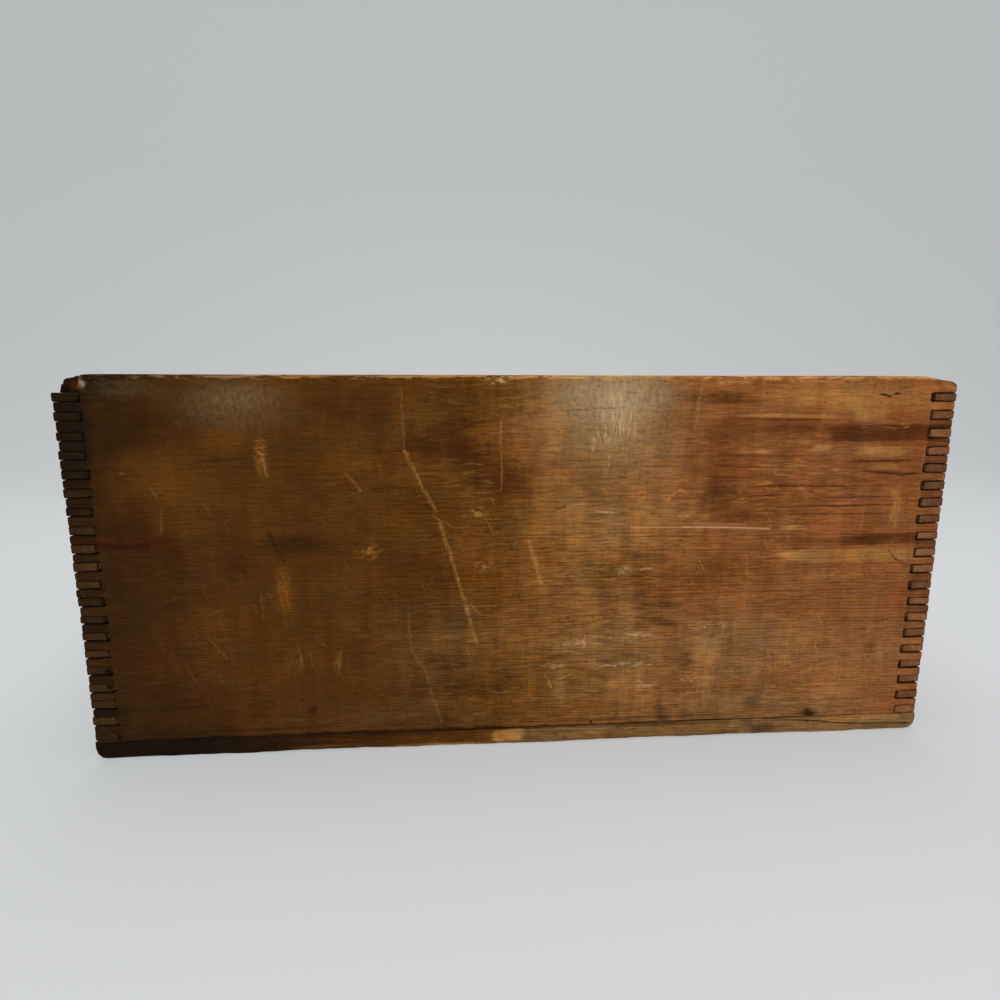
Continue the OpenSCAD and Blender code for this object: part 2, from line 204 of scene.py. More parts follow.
class Net:
    """Adds nodes to one tree, in the order in which they are worked out."""

    def __init__(self, tree):
        self.tree = tree

    def put(self, socket, value):
        if value is None:
            return
        if isinstance(value, bpy.types.NodeSocket):
            self.tree.links.new(value, socket)
        elif socket.type == "RGBA" and len(value) == 3:
            socket.default_value = (*value, 1)
        else:
            socket.default_value = value

    def add(self, kind, *values, **settings):
        node = self.tree.nodes.new("ShaderNode" + kind)
        for key, value in settings.items():
            setattr(node, key, value)
        for socket, value in zip(node.inputs, values):
            self.put(socket, value)
        return node

    def math(self, operation, a, b=None, c=None):
        return self.add("Math", a, b, c, operation=operation).outputs[0]

    def plus(self, a, b):
        return self.math("ADD", a, b)

    def minus(self, a, b):
        return self.math("SUBTRACT", a, b)

    def times(self, a, b):
        return self.math("MULTIPLY", a, b)

    def vector(self, operation, a, b=None):
        node = self.add("VectorMath", a, b, operation=operation)
        return node.outputs["Value" if operation in ("LENGTH", "DISTANCE", "DOT_PRODUCT") else "Vector"]

    def scaled(self, point, factor):
        if isinstance(factor, (tuple, list)):
            return self.vector("MULTIPLY", point, tuple(factor))
        node = self.add("VectorMath", operation="SCALE")
        self.put(node.inputs[0], point)
        self.put(node.inputs["Scale"], factor)
        return node.outputs[0]

    def remap(self, value, low, high, to_low=0.0, to_high=1.0):
        node = self.add("MapRange", interpolation_type="SMOOTHSTEP", clamp=False)
        for key, item in zip(("Value", "From Min", "From Max", "To Min", "To Max"),
                             (value, low, high, to_low, to_high)):
            self.put(node.inputs[key], item)
        return node.outputs[0]

    def blend(self, factor, a, b, mode="MIX"):
        node = self.add("Mix", data_type="RGBA", blend_type=mode)
        self.put(node.inputs[0], factor)
        self.put(node.inputs[6], a)
        self.put(node.inputs[7], b)
        return node.outputs[2]

    def noise(self, point, scale=1.0, detail=2.0, roughness=0.5):
        node = self.add("TexNoise")
        for key, item in zip(("Vector", "Scale", "Detail", "Roughness"), (point, scale, detail, roughness)):
            self.put(node.inputs[key], item)
        return node.outputs[0]

    def stretched(self, point, stretch, detail=2.0, roughness=0.5):
        """Noise that is drawn out along the axes on which stretch is small."""
        return self.noise(self.scaled(point, stretch), 1, detail, roughness)

    def shaded(self, base, value, factor=1.0):
        """A colour times a number."""
        grey = self.add("CombineColor", value, value, value).outputs[0]
        return self.blend(factor, base, grey, "MULTIPLY")

    def group(self, tree, **values):
        node = self.add("Group", node_tree=tree)
        for key, value in values.items():
            self.put(node.inputs[key.replace("_", " ").title()], value)
        return node.outputs


def node_group(name, inputs, outputs, build):
    """The shader node group of that name, made by build(net, inputs) the first time. inputs gives the
    sockets' defaults, and all outputs are numbers."""
    tree = bpy.data.node_groups.get(name)
    if tree:
        return tree
    tree = bpy.data.node_groups.new(name, "ShaderNodeTree")
    for key, default in inputs.items():
        kind = "NodeSocketFloat" if isinstance(default, float) else "NodeSocketVector"
        tree.interface.new_socket(key, in_out="INPUT", socket_type=kind).default_value = default
    for key in outputs:
        tree.interface.new_socket(key, in_out="OUTPUT", socket_type="NodeSocketFloat")
    net = Net(tree)
    results = build(net, tree.nodes.new("NodeGroupInput").outputs)
    end = tree.nodes.new("NodeGroupOutput")
    for key in outputs:
        tree.links.new(results[key], end.inputs[key])
    return tree


def growth_rings():
    """Rings about a pith that runs along the grain: late wood lines, slow bands and fibres."""

    def build(net, given):
        point = given["Point"]
        sway = net.stretched(point, (5, 26, 26))
        ripple = net.stretched(point, (30, 160, 160), 1)
        shift = net.times(net.minus(sway, 0.5), given["Wave"])
        small = net.times(net.minus(ripple, 0.5), 0.8 * MM)
        shift = net.plus(shift, small)
        away = net.vector("SUBTRACT", point, given["Pith"])
        parts = net.add("SeparateXYZ", away)
        lean = 0.012
        depth = net.math("MULTIPLY_ADD", parts.outputs[0], lean, parts.outputs[1])
        across = net.math("MULTIPLY_ADD", parts.outputs[0], lean, net.plus(parts.outputs[2], shift))
        radius = net.math("SQRT", net.plus(net.times(depth, depth), net.times(across, across)))
        turns = net.math("DIVIDE", radius, given["Ring"])
        chance = net.add("TexWhiteNoise", noise_dimensions="1D")
        net.put(chance.inputs["W"], net.math("FLOOR", turns))
        share = net.math("FRACT", turns)
        rise = net.remap(share, 0.40, 0.86)
        fall = net.remap(share, 0.90, 1.0, 1.0, 0.0)
        broken = net.remap(net.stretched(point, (16, 500, 500)), 0.36, 0.60, 0.15, 1.0)
        line = net.times(rise, fall)
        strength = net.math("MULTIPLY_ADD", chance.outputs["Value"], 0.6, 0.4)
        late = net.times(line, net.times(broken, strength))
        slow = net.add("TexNoise", noise_dimensions="1D")
        net.put(slow.inputs["W"], net.times(turns, 0.30))
        slow.inputs["Detail"].default_value = 1
        fibre = net.stretched(point, (110, 1300, 1300), 2, 0.6)
        return {"Late": late, "Band": slow.outputs[0], "Fibre": fibre}

    inputs = {"Point": ORIGIN, "Pith": (0, 0.04, 0.15), "Ring": 2 * MM, "Wave": 8 * MM}
    return node_group("Growth rings", inputs, ("Late", "Band", "Fibre"), build)


def stain():
    """Soft-edged patch about a centre, in the plane of a board's face. A higher Corner squares it."""

    def build(net, given):
        away = net.vector("SUBTRACT", given["Point"], given["Centre"])
        along = net.vector("DOT_PRODUCT", away, given["Along"])
        across = net.vector("DOT_PRODUCT", away, given["Across"])
        power = given["Corner"]
        far_along = net.math("POWER", net.math("ABSOLUTE", along), power)
        far = net.plus(far_along, net.math("POWER", net.math("ABSOLUTE", across), power))
        far = net.math("POWER", far, net.math("DIVIDE", 1.0, power))
        inner = net.minus(1.0, given["Softness"])
        return {"Mask": net.remap(far, inner, 1.0, 1.0, 0.0)}

    inputs = {"Point": ORIGIN, "Centre": ORIGIN, "Along": (100, 0, 0), "Across": (0, 0, 100),
              "Softness": 0.8, "Corner": ROUND}
    return node_group("Stain", inputs, ("Mask",), build)


def scratch():
    """Thin line from one point to another, faint towards its sides."""

    def build(net, given):
        start = given["Start"]
        run = net.vector("SUBTRACT", given["End"], start)
        away = net.vector("SUBTRACT", given["Point"], start)
        share = net.math("DIVIDE", net.vector("DOT_PRODUCT", away, run), net.vector("DOT_PRODUCT", run, run))
        share = net.math("MINIMUM", net.math("MAXIMUM", share, 0.0), 1.0)
        gap = net.vector("DISTANCE", away, net.scaled(run, share))
        return {"Mask": net.remap(gap, given["Width"], 0.0)}

    inputs = {"Point": ORIGIN, "Start": ORIGIN, "End": (0.01, 0, 0), "Width": 0.6 * MM}
    return node_group("Scratch", inputs, ("Mask",), build)


def scuffs():
    """Fine random scratches in two directions, in patches."""

    def build(net, given):
        point = given["Point"]
        masks = []
        for turn, stretch, cut in ((0.35, (45, 900, 900), 0.67), (-1.15, (70, 1000, 1000), 0.66)):
            place = net.add("Mapping", point, vector_type="POINT")
            place.inputs["Rotation"].default_value = (0, turn, 0)
            value = net.stretched(place.outputs[0], stretch, 1)
            masks.append(net.remap(value, cut, cut + 0.06))
        patch = net.stretched(point, (28, 28, 28))
        both = net.math("MAXIMUM", masks[0], masks[1])
        return {"Mask": net.times(both, net.remap(patch, 0.44, 0.64))}

    return node_group("Scuffs", {"Point": ORIGIN}, ("Mask",), build)


def worn_edge():
    """Ragged band along an edge, from the distance to it."""

    def build(net, given):
        ragged = net.stretched(given["Point"], (90, 400, 400), 4, 0.65)
        reach = net.times(given["Width"], net.remap(ragged, 0.34, 0.68, 0.2, 1.7))
        return {"Mask": net.remap(given["Distance"], reach, net.times(reach, 0.5))}

    inputs = {"Point": ORIGIN, "Distance": 0.0, "Width": 2 * MM}
    return node_group("Worn edge", inputs, ("Mask",), build)


def mottle():
    """Uneven dirt at three sizes, wiped across the grain, wear in flecks along the grain, a slow change
    of hue, and dark and light specks."""

    def build(net, given):
        point = given["Point"]
        broad = net.stretched(point, (26, 26, 55), 3, 0.62)
        shade = net.remap(broad, 0.32, 0.68, 0.88, 1.10)
        fine = net.stretched(point, (90, 760, 760), 3, 0.65)
        shade = net.times(shade, net.remap(fine, 0.34, 0.66, 0.82, 1.17))
        wipe = net.stretched(point, (110, 110, 24), 3, 0.65)
        shade = net.times(shade, net.remap(wipe, 0.34, 0.66, 0.84, 1.13))
        worn = net.remap(net.stretched(point, (30, 30, 60), 3, 0.65), 0.46, 0.64)
        strand = net.stretched(point, (100, 850, 850), 2, 0.6)
        worn = net.times(worn, net.remap(strand, 0.52, 0.66))
        hue = net.stretched(point, (48, 48, 75), 2, 0.6)
        grit = net.stretched(point, (500, 800, 800), 1)
        return {"Shade": shade, "Broad": broad, "Wear": worn, "Hue": hue,
                "Pits": net.remap(grit, 0.65, 0.75), "Specks": net.remap(grit, 0.29, 0.20)}

    outputs = ("Shade", "Broad", "Wear", "Hue", "Pits", "Specks")
    return node_group("Mottle", {"Point": ORIGIN}, outputs, build)


def finger_lines():
    """Dark lines between the fingers of a corner, dirt and painted shade of the gaps, and a chance tone for
    each finger, from its height and the distance to the wall's end."""

    def build(net, given):
        ragged = net.stretched(given["Point"], (160, 160, 160))
        reach = net.times(given["Width"], net.remap(ragged, 0.3, 0.7, 0.35, 1.65))
        steps = net.math("DIVIDE", net.minus(given["Height"], LOW), FINGER)
        share = net.math("FRACT", net.plus(steps, 0.5))
        gap = net.times(net.math("ABSOLUTE", net.minus(share, 0.5)), FINGER)
        line = net.remap(gap, reach, net.times(reach, 0.35))
        inside = net.remap(given["Distance"], given["Depth"], net.minus(given["Depth"], JOINT_LINE))
        below = net.remap(given["Height"], RIM - 7 * MM, RIM - 8 * MM)
        place = net.add("SeparateXYZ", given["Place"])
        side = net.math("SIGN", place.outputs[0])
        rear = net.times(net.math("SIGN", place.outputs[1]), 100.0)
        corner = net.math("MULTIPLY_ADD", side, 50.0, rear)
        chance = net.add("TexWhiteNoise", noise_dimensions="1D")
        net.put(chance.inputs["W"], net.plus(net.math("FLOOR", steps), corner))
        darker = net.remap(chance.outputs["Value"], 0.0, 1.0, -0.36, 0.16)
        return {"Mask": net.times(line, net.times(inside, below)),
                "Shade": net.math("MULTIPLY_ADD", darker, inside, 1.0)}

    inputs = {"Point": ORIGIN, "Place": ORIGIN, "Height": 0.0, "Distance": 0.0, "Depth": LONG_JOINT,
              "Width": JOINT_LINE}
    return node_group("Finger lines", inputs, ("Mask", "Shade"), build)


def clear_material(name):
    """A new material without nodes, and its net."""
    material = bpy.data.materials.new(name)
    material.use_nodes = True
    material.node_tree.nodes.clear()
    return material, Net(material.node_tree)


def finish_material(net, base, roughness, height, depth, specular=0.3, tint=None, metallic=None):
    """Adds the shader with its bump, and the output."""
    bump = net.add("Bump")
    bump.inputs["Strength"].default_value = 1
    bump.inputs["Distance"].default_value = depth
    net.put(bump.inputs["Height"], height)
    shader = net.add("BsdfPrincipled")
    shader.inputs["Specular IOR Level"].default_value = specular
    net.put(shader.inputs["Specular Tint"], tint)
    net.put(shader.inputs["Base Color"], base)
    net.put(shader.inputs["Roughness"], roughness)
    net.put(shader.inputs["Metallic"], metallic)
    net.put(shader.inputs["Normal"], bump.outputs[0])
    out = net.add("OutputMaterial")
    net.tree.links.new(shader.outputs[0], out.inputs[0])


def board_point(net, grain, depth, across):
    """Object coordinates in the board's own order: along the grain, through it, across it."""
    coords = net.add("TexCoord")
    parts = net.add("SeparateXYZ", coords.outputs["Object"])
    turned = net.add("SeparateXYZ", coords.outputs["Normal"])
    point = net.add("CombineXYZ", *(parts.outputs[i] for i in (grain, depth, across)))
    return point.outputs[0], parts.outputs, turned.outputs, coords.outputs["Object"]


def edge_noise(rng, x, wavelengths):
    """Smooth noise along an edge, about 0 to 1."""
    total = np.zeros_like(x)
    weight = 0
    for wave in wavelengths:
        total += math.sqrt(wave) * np.sin(2 * math.pi * x / wave + rng.uniform(0, 2 * math.pi))
        weight += math.sqrt(wave)
    return np.clip(0.5 + 0.75 * total / weight, 0, 1)


def bare_copy(node):
    """The CAD node's solid with its flat faces whole."""
    bm = bmesh.new()
    bm.from_mesh(frame["nodes"][node].data)
    bmesh.ops.remove_doubles(bm, verts=bm.verts, dist=1e-6)
    bmesh.ops.dissolve_limit(
        bm, angle_limit=math.radians(1), verts=bm.verts, edges=bm.edges, use_dissolve_boundaries=False
    )
    return bm


def bevel_outline(bm, axis, low_width, high_width):
    """Bevels the outline of the board's two broad faces and marks the bevel in a face layer that the
    material darkens: dirt and painted shade in the crevices.
    """
    layer = bm.faces.layers.float.new("joint_dirt_and_shade")
    least_broad, least_side, turn = 400 * MM ** 2, 2 * MM ** 2, math.radians(40)
    for side, width in ((-1, low_width), (1, high_width)):
        broad = {f for f in bm.faces if f.normal[axis] * side > LEVEL and f.calc_area() > least_broad}
        chosen = []
        for edge in bm.edges:
            if len(edge.link_faces) != 2:
                continue
            one, two = edge.link_faces
            if (one in broad) == (two in broad):
                continue
            other = two if one in broad else one
            if other.calc_area() > least_side and edge.calc_face_angle(0) > turn:
                chosen.append(edge)
        made = bmesh.ops.bevel(
            bm, geom=chosen, offset=width, offset_type="OFFSET", segments=3, profile=0.5, affect="EDGES",
            clamp_overlap=False
        )
        for face in made["faces"]:
            face[layer] = 1.0


def cut_planes(bm, axis, places, keep=None):
    """Cuts the faces that keep allows at each place along an axis."""
    normal = Vector([float(i == axis) for i in range(3)])
    faces = [f for f in bm.faces if keep is None or keep(f)]
    geom = list({v for f in faces for v in f.verts}) + list({e for f in faces for e in f.edges}) + faces
    for place in places:
        made = bmesh.ops.bisect_plane(bm, geom=geom, plane_co=normal * place, plane_no=normal, dist=1e-7)
        geom = made["geom"]


def spread(low, high, step):
    """Multiples of a step between two limits."""
    return np.arange(math.ceil(low / step) * step, high, step)


def round_arris(co, along, sides, radius, rng, wavelengths):
    """Wears one straight arris back to a radius that changes along it. sides are two (axis, plane,
    inward sign)."""
    (axis_a, plane_a, sign_a), (axis_b, plane_b, sign_b) = sides
    a = (co[:, axis_a] - plane_a) * sign_a
    b = (co[:, axis_b] - plane_b) * sign_b
    r = radius * (0.35 + 1.3 * edge_noise(rng, co[:, along], wavelengths))
    da, db = r - a, r - b
    reach = np.hypot(da, db)
    out = (da > 0) & (db > 0) & (reach > r)
    scale = np.where(out, r / np.maximum(reach, 1e-9), 1)
    co[:, axis_a] = np.where(out, plane_a + sign_a * (r - da * scale), co[:, axis_a])
    co[:, axis_b] = np.where(out, plane_b + sign_b * (r - db * scale), co[:, axis_b])


def hollow_faces(co, axis, planes, depth, rng, box):
    """Presses long shallow hollows into a board's broad faces, away from their outline."""
    others = [i for i in range(3) if i != axis]
    low, high = box
    margin, fade, waves = 14 * MM, 10 * MM, 7
    shortest = np.array([160 * MM, 50 * MM])
    inset = np.min([np.minimum(co[:, i] - low[i], high[i] - co[:, i]) for i in others], axis=0)
    ease = np.clip((inset - margin) / fade, 0, 1)
    for plane, sign in planes:
        wave = np.zeros(len(co))
        for _ in range(waves):
            k = rng.uniform(-1, 1, 2) * 2 * math.pi / shortest
            wave += np.sin(co[:, others[0]] * k[0] + co[:, others[1]] * k[1] + rng.uniform(0, 2 * math.pi))
        near = np.abs(co[:, axis] - plane) < 1e-5
        co[:, axis] += np.where(near, sign * depth * ease * np.clip(0.5 + wave / 6, 0, 1), 0)


def make_piece(name, bm, node, material):
    """Ends a board: mesh, shading, material, body, and the CAD node that it stands for."""
    mesh = bpy.data.meshes.new(name)
    bm.to_mesh(mesh)
    bm.free()
    # Normals that came along from the CAD mesh don't fit the new faces.
    normals = mesh.attributes.get("custom_normal")
    if normals:
        mesh.attributes.remove(normals)
    piece = bpy.data.objects.new(name, mesh)
    bpy.context.scene.collection.objects.link(piece)
    mesh.materials.append(material)
    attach(piece, frame["nodes"][node]["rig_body"])
    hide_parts(node)
    return piece


def coordinates(mesh):
    """A mesh's coordinates, one row per point."""
    co = np.empty(len(mesh.vertices) * 3)
    mesh.vertices.foreach_get("co", co)
    return co.reshape(-1, 3)


def put_coordinates(mesh, co):
    """Puts changed coordinates back and shades the mesh smooth between its sharp edges."""
    mesh.vertices.foreach_set("co", co.ravel())
    mesh.polygons.foreach_set("use_smooth", np.ones(len(mesh.polygons), bool))
    mesh.update()
    mesh.set_sharp_from_angle(angle=math.radians(38))


def eased(value):
    """Smooth step from 0 to 1."""
    value = np.clip(value, 0, 1)
    return value * value * (3 - 2 * value)


def slump(co, side, sag, run, curve, fall):
    """Wears a top corner of the front down by sag over its last run, and rounds it by fall over its
    last curve."""
    tip, depth, fade, height = 3 * MM, 38 * MM, 24 * MM, 7.5 * MM
    inset = END - side * co[:, X]
    turn = np.clip(1 - inset / curve, 0, 1)
    drop = sag * eased((run - inset) / (run - tip)) + fall * (1 - np.sqrt(1 - turn * turn))
    drop *= eased((FRONT + depth - co[:, Y]) / fade)
    co[:, Z] -= drop * np.clip((co[:, Z] - RIM) / height + 1, 0, 1)


def splinter(co):
    """Tears the tongue that is left of the broken top left finger: its top falls away in jags, and its
    end draws in."""
    rng = np.random.default_rng(45)
    foot, reach = RIM - 8.6 * MM, 17 * MM
    slope, fall, jag, draw = 1.2 * MM, 2.4 * MM, 1.1 * MM, 1.7 * MM
    share = np.clip((reach - END - co[:, X]) / reach, 0, 1)
    jags = edge_noise(rng, co[:, X], (5.2 * MM, 3.1 * MM, 1.9 * MM))
    drop = slope * share + fall * share ** 4 + jag * jags * np.minimum(4 * share, 1)
    rise = np.clip((co[:, Z] - foot) / (RIM - foot), 0, 1)
    torn = 0.6 + 0.8 * edge_noise(rng, co[:, Z], (4.3 * MM, 2.3 * MM))
    co[:, X] += np.where(rise > 0, draw * torn * np.clip((share - 0.5) / 0.5, 0, 1), 0)
    co[:, Z] -= drop * rise


def close_joints(co):
    """Lets the long walls' fingers swell until they fill the play in their sockets."""
    swell, play = 0.2 * MM, 0.225 * MM
    start, fade, broken = END - 15.4 * MM, 0.8 * MM, RIM - 8.4 * MM
    phase = np.mod(co[:, Z] - LOW - FINGER / 2, 2 * FINGER) - FINGER
    finger_half, socket_half = FINGER / 2 - play, FINGER / 2 + play
    away = np.abs(phase)
    grown = np.where(
        away <= finger_half, away * (finger_half + swell) / finger_half,
        FINGER - (FINGER - away) * (socket_half - swell) / socket_half
    )
    near_end = eased((np.abs(co[:, X]) - start) / fade)
    co[:, Z] += np.where(co[:, Z] < broken, near_end * np.sign(phase) * (grown - away), 0)


def wear_tips(co, axis, half, seed):
    """Wears the tips of a wall's fingers back, each by its own amount."""
    most, depth = bpy.context.scene.box_wear.tip, 2 * MM
    amounts = np.random.default_rng(seed).uniform(0.0, most, (2, TOP_FINGER + 1))
    finger = np.clip(((co[:, Z] - LOW) / FINGER).astype(int), 0, TOP_FINGER)
    side = (co[:, axis] > 0).astype(int)
    share = np.clip(1 - (half - np.abs(co[:, axis])) / depth, 0, 1)
    co[:, axis] -= np.sign(co[:, axis]) * amounts[side, finger] * share


def stagger_fingers(co):
    """Moves and tilts the lines between the fingers, the same way on both walls of a corner. Returns the
    heights from before."""
    rest = co[:, Z].copy()
    rng = np.random.default_rng(44)
    most_shift, most_tilt = 0.32 * MM, 0.45 * MM
    depth_x, depth_y, middle = 14 * MM, 10 * MM, 6.5 * MM
    corners, lines = 4, TOP_FINGER + 3
    shifts = rng.uniform(-most_shift, most_shift, (corners, lines))
    tilts = rng.uniform(-most_tilt, most_tilt, (corners, lines))
    steps = (rest - LOW) / FINGER
    line = np.clip(np.rint(steps), 0, lines - 1).astype(int)
    weight = 1 - 2 * np.abs(steps - np.rint(steps))
    inset_x, inset_y = END - np.abs(co[:, X]), -FRONT - np.abs(co[:, Y])
    near = (inset_x < depth_x) & (inset_y < depth_y) & (line > 0) & (line <= TOP_FINGER)
    corner = (co[:, X] > 0).astype(int) + 2 * (co[:, Y] > 0)
    move = shifts[corner, line] + tilts[corner, line] * (inset_x - middle) / (2 * middle)
    co[:, Z] += np.where(near, weight * move, 0)
    return rest


def front_shape(co):
    """Wear of the front wall's fingers and corners."""
    wear_tips(co, X, END, 41)
    close_joints(co)
    rest = stagger_fingers(co)
    slump(co, *RIGHT_SLUMP)
    splinter(co)
    return rest


def back_shape(co):
    """Wear of the back wall's fingers."""
    wear_tips(co, X, END, 42)
    close_joints(co)
    return stagger_fingers(co)


def end_shape(co):
    """Wear of an end wall's fingers and front corner."""
    wear_tips(co, Y, -FRONT, 43)
    rest = stagger_fingers(co)
    slump(co, *RIGHT_SLUMP)
    slump(co, *LEFT_SLUMP)
    return rest


def worn_board(node, name, grain, axis, material, seed, arrises, bevels=(1, 1), shape=None, cuts=()):
    """A board made from its CAD solid. arrises lists (axis, side, axis, side, radius); shape changes
    the coordinates last and returns the heights by which the fingers are told apart; cuts lists the
    places along the grain, near the rim, that it needs."""
    wear = bpy.context.scene.box_wear
    rng = np.random.default_rng(seed)
    # Folds that close up, ends and edges without cuts, the spacing of the cuts across the board, and
    # which faces an arris takes in.
    fold, end, edge, spacing = 0.04 * MM, 14 * MM, 12 * MM, 9 * MM
    near, most_corners = 1.5 * MM, 80
    bm = bare_copy(node)
    low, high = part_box(node)
    bevel_outline(bm, axis, bevels[0] * wear.joint_bevel, bevels[1] * wear.joint_bevel)
    bmesh.ops.remove_doubles(bm, verts=bm.verts, dist=fold)
    cut_planes(bm, grain, spread(low[grain] + end, high[grain] - end, wear.slice))
    across = ({X, Y, Z} - {grain, axis}).pop()
    cut_planes(
        bm, across, spread(low[across] + edge, high[across] - edge, spacing),
        lambda f: abs(f.normal[axis]) > LEVEL
    )
    for axis_a, side_a, axis_b, side_b, radius in arrises:
        for here, side, other, other_side in (
            (axis_a, side_a, axis_b, side_b), (axis_b, side_b, axis_a, side_a)
        ):
            plane = high[here] if side > 0 else low[here]
            limit = high[other] if other_side > 0 else low[other]
            cut_planes(
                bm, here, [plane - side * radius * step for step in ARRIS_STEPS],
                lambda f: abs(f.calc_center_median()[other] - limit) < near
                and len(f.verts) < most_corners and abs(f.normal[grain]) < 0.5
            )
    cut_planes(bm, grain, cuts, lambda f: f.calc_center_median().z > RIM - 2 * FINGER)
    piece = make_piece(name, bm, node, material)
    co = coordinates(piece.data)
    hollow_faces(co, axis, ((low[axis], 1), (high[axis], -1)), wear.hollow, rng, (low, high))
    for axis_a, side_a, axis_b, side_b, radius in arrises:
        sides = [
            (i, high[i] if side > 0 else low[i], -side) for i, side in ((axis_a, side_a), (axis_b, side_b))
        ]
        round_arris(co, grain, sides, radius, rng, ARRIS_WAVES)
    if shape:
        heights = piece.data.attributes.new("finger_height", "FLOAT", "POINT")
        heights.data.foreach_set("value", shape(co))
    put_coordinates(piece.data, co)


class Patch(NamedTuple):
    """Soft mark on the front, in millimetres: its middle from the box's middle and the floor, half its
    length and height. Softness 1 has no core; turn is in degrees."""

    x: float
    z: float
    length: float
    height: float
    tone: str
    strength: float
    softness: float = 1.0
    turn: float = 0.0


# Patches on the front wall. Fields spread along the grain with feathered ends, bands keep to the grain,
# spots lie on top, gold is rubbed through the grain, and pale bloom, partly painted reflection of the
# light in the varnish, and streaks lie over it all.
# Tone from the left end to the right: darker to the left, partly the varnish's own tone and partly painted
# shade where the light falls off.
FRONT_RAMP_WITH_SHADE = (
    (0.00, "umber"), (0.10, "walnut"), (0.36, "walnut"), (0.46, "chestnut"), (0.55, "hazel"),
    (0.66, "hazel"), (0.78, "amber"), (1.00, "amber"),
)
FRONT_FIELDS = (
    (-228, 182, 56, 60, "umber", 0.75), (-216, 200, 36, 16, "soot_and_shade", 0.75),
    (-236, 100, 24, 130, "umber", 0.8, 0.8), (-176, 150, 48, 32, "chestnut", 0.5),
    (-160, 60, 70, 30, "chestnut", 0.25), (-88, 189, 34, 12, "russet", 0.55, 0.7),
    (-118, 117, 36, 9, "umber", 0.45, 0.8), (-62, 150, 36, 12, "chestnut", 0.4),
    (-36, 179, 16, 7, "russet", 0.6, 0.6), (-32, 166, 28, 14, "russet", 0.7, 0.8, -18),
    (-12, 150, 26, 13, "russet", 0.75, 0.7, -10), (-52, 170, 14, 6, "umber", 0.4, 0.7, -20),
    (-6, 177, 17, 10, "amber", 0.45), (15, 158, 18, 10, "amber", 0.45, 0.8),
    (52, 132, 58, 36, "honey", 0.6), (42, 172, 50, 34, "honey", 0.6),
    (84, 178, 16, 14, "chestnut", 0.55, 0.8), (102, 194, 24, 6, "umber", 0.6, 0.9),
    (106, 176, 20, 10, "umber", 0.45), (126, 150, 30, 26, "russet", 0.2), (122, 130, 36, 5, "russet", 0.4),
    (170, 193, 70, 12, "ochre", 0.45), (120, 50, 70, 46, "dust", 0.6), (50, 56, 60, 40, "dust", 0.5),
    (190, 46, 60, 50, "honey", 0.45), (-40, 60, 60, 40, "dust", 0.25), (110, 98, 70, 16, "chestnut", 0.3),
    (70, 98, 90, 18, "umber", 0.18), (130, 16, 110, 18, "dust", 0.62, 0.9),
    (-60, 190, 40, 12, "walnut", 0.3), (25, 20, 46, 12, "umber", 0.2, 0.8),
    (-60, 20, 70, 14, "dust", 0.14, 0.9), (-30, 16, 70, 12, "umber", 0.24),
    (-40, 34, 50, 8, "umber", 0.3, 0.9), (150, 92, 70, 32, "hazel", 0.22),
    (-200, 12, 70, 9, "umber", 0.6, 0.9),
)
FRONT_BANDS = (
    (-205, 119, 30, 5, "russet", 0.7, 0.7), (-206, 118, 18, 3, "soot_and_shade", 0.5, 0.7),
    (198, 174.6, 46, 5.2, "russet", 0.8, 0.25), (142, 177.2, 34, 4.4, "russet", 0.55, 0.8, -1),
    (142, 183.4, 36, 1.2, "ochre", 0.6, 0.7, -1), (140, 181.8, 34, 0.8, "russet", 0.6, 0.7, -1),
    (114, 191, 24, 1.6, "umber", 0.45, 0.9), (183, 184, 10, 4.4, "ochre", 0.4, 0.7),
    (160, 166.5, 7, 3.4, "ochre", 0.45, 0.7), (196, 164.8, 20, 4, "ochre", 0.5, 0.6),
    (124, 164.5, 12, 1.6, "ochre", 0.4, 0.8), (196, 159.6, 24, 0.8, "russet", 0.75, 0.6),
    (196, 152.6, 13, 1, "russet", 0.75, 0.6, -6), (210, 151.6, 9, 0.9, "russet", 0.65, 0.6, 6),
    (198, 156, 11, 2, "ochre", 0.45, 0.8), (150, 146.4, 44, 0.8, "russet", 0.65, 0.7),
    (178, 139.6, 44, 0.7, "russet", 0.6, 0.7), (168, 135, 52, 0.9, "russet", 0.7, 0.7),
    (174, 130.6, 46, 0.7, "russet", 0.6, 0.7), (147, 123.2, 10, 1.7, "ochre", 0.5, 0.6),
    (116, 163, 22, 1, "russet", 0.55), (124, 157, 30, 1, "russet", 0.6),
    (120, 151, 26, 0.9, "russet", 0.55), (126, 141, 34, 1, "russet", 0.55),
    (200, 115.8, 30, 3.8, "russet", 0.8, 0.5), (166, 115.6, 40, 2.4, "russet", 0.5, 0.9),
    (184, 107, 52, 5, "ochre", 0.4, 0.6), (147, 107.5, 12, 4.2, "ochre", 0.6, 0.8),
    (78, 70, 12, 3.2, "umber", 0.5, 0.6, -8), (20, 52, 9, 2.4, "umber", 0.45, 0.7),
    (74, 80, 14, 3, "umber", 0.35, 0.8), (40, 92, 60, 0.7, "umber", 0.4, 0.8),
    (60, 86, 50, 0.6, "umber", 0.35, 0.8), (-20, 70, 60, 0.7, "umber", 0.35, 0.8),
    (-154, 162, 24, 0.9, "umber", 0.6, 0.7, 4), (-75, 166, 40, 0.9, "umber", 0.5, 0.8, 1),
    (-70, 147, 50, 0.8, "umber", 0.4, 0.8), (-198, 28, 46, 2.8, "umber", 0.62, 0.8),
    (-150, 14, 70, 1.8, "umber", 0.5, 0.8, 1), (60, 13, 80, 1.4, "umber", 0.45, 0.8),
)
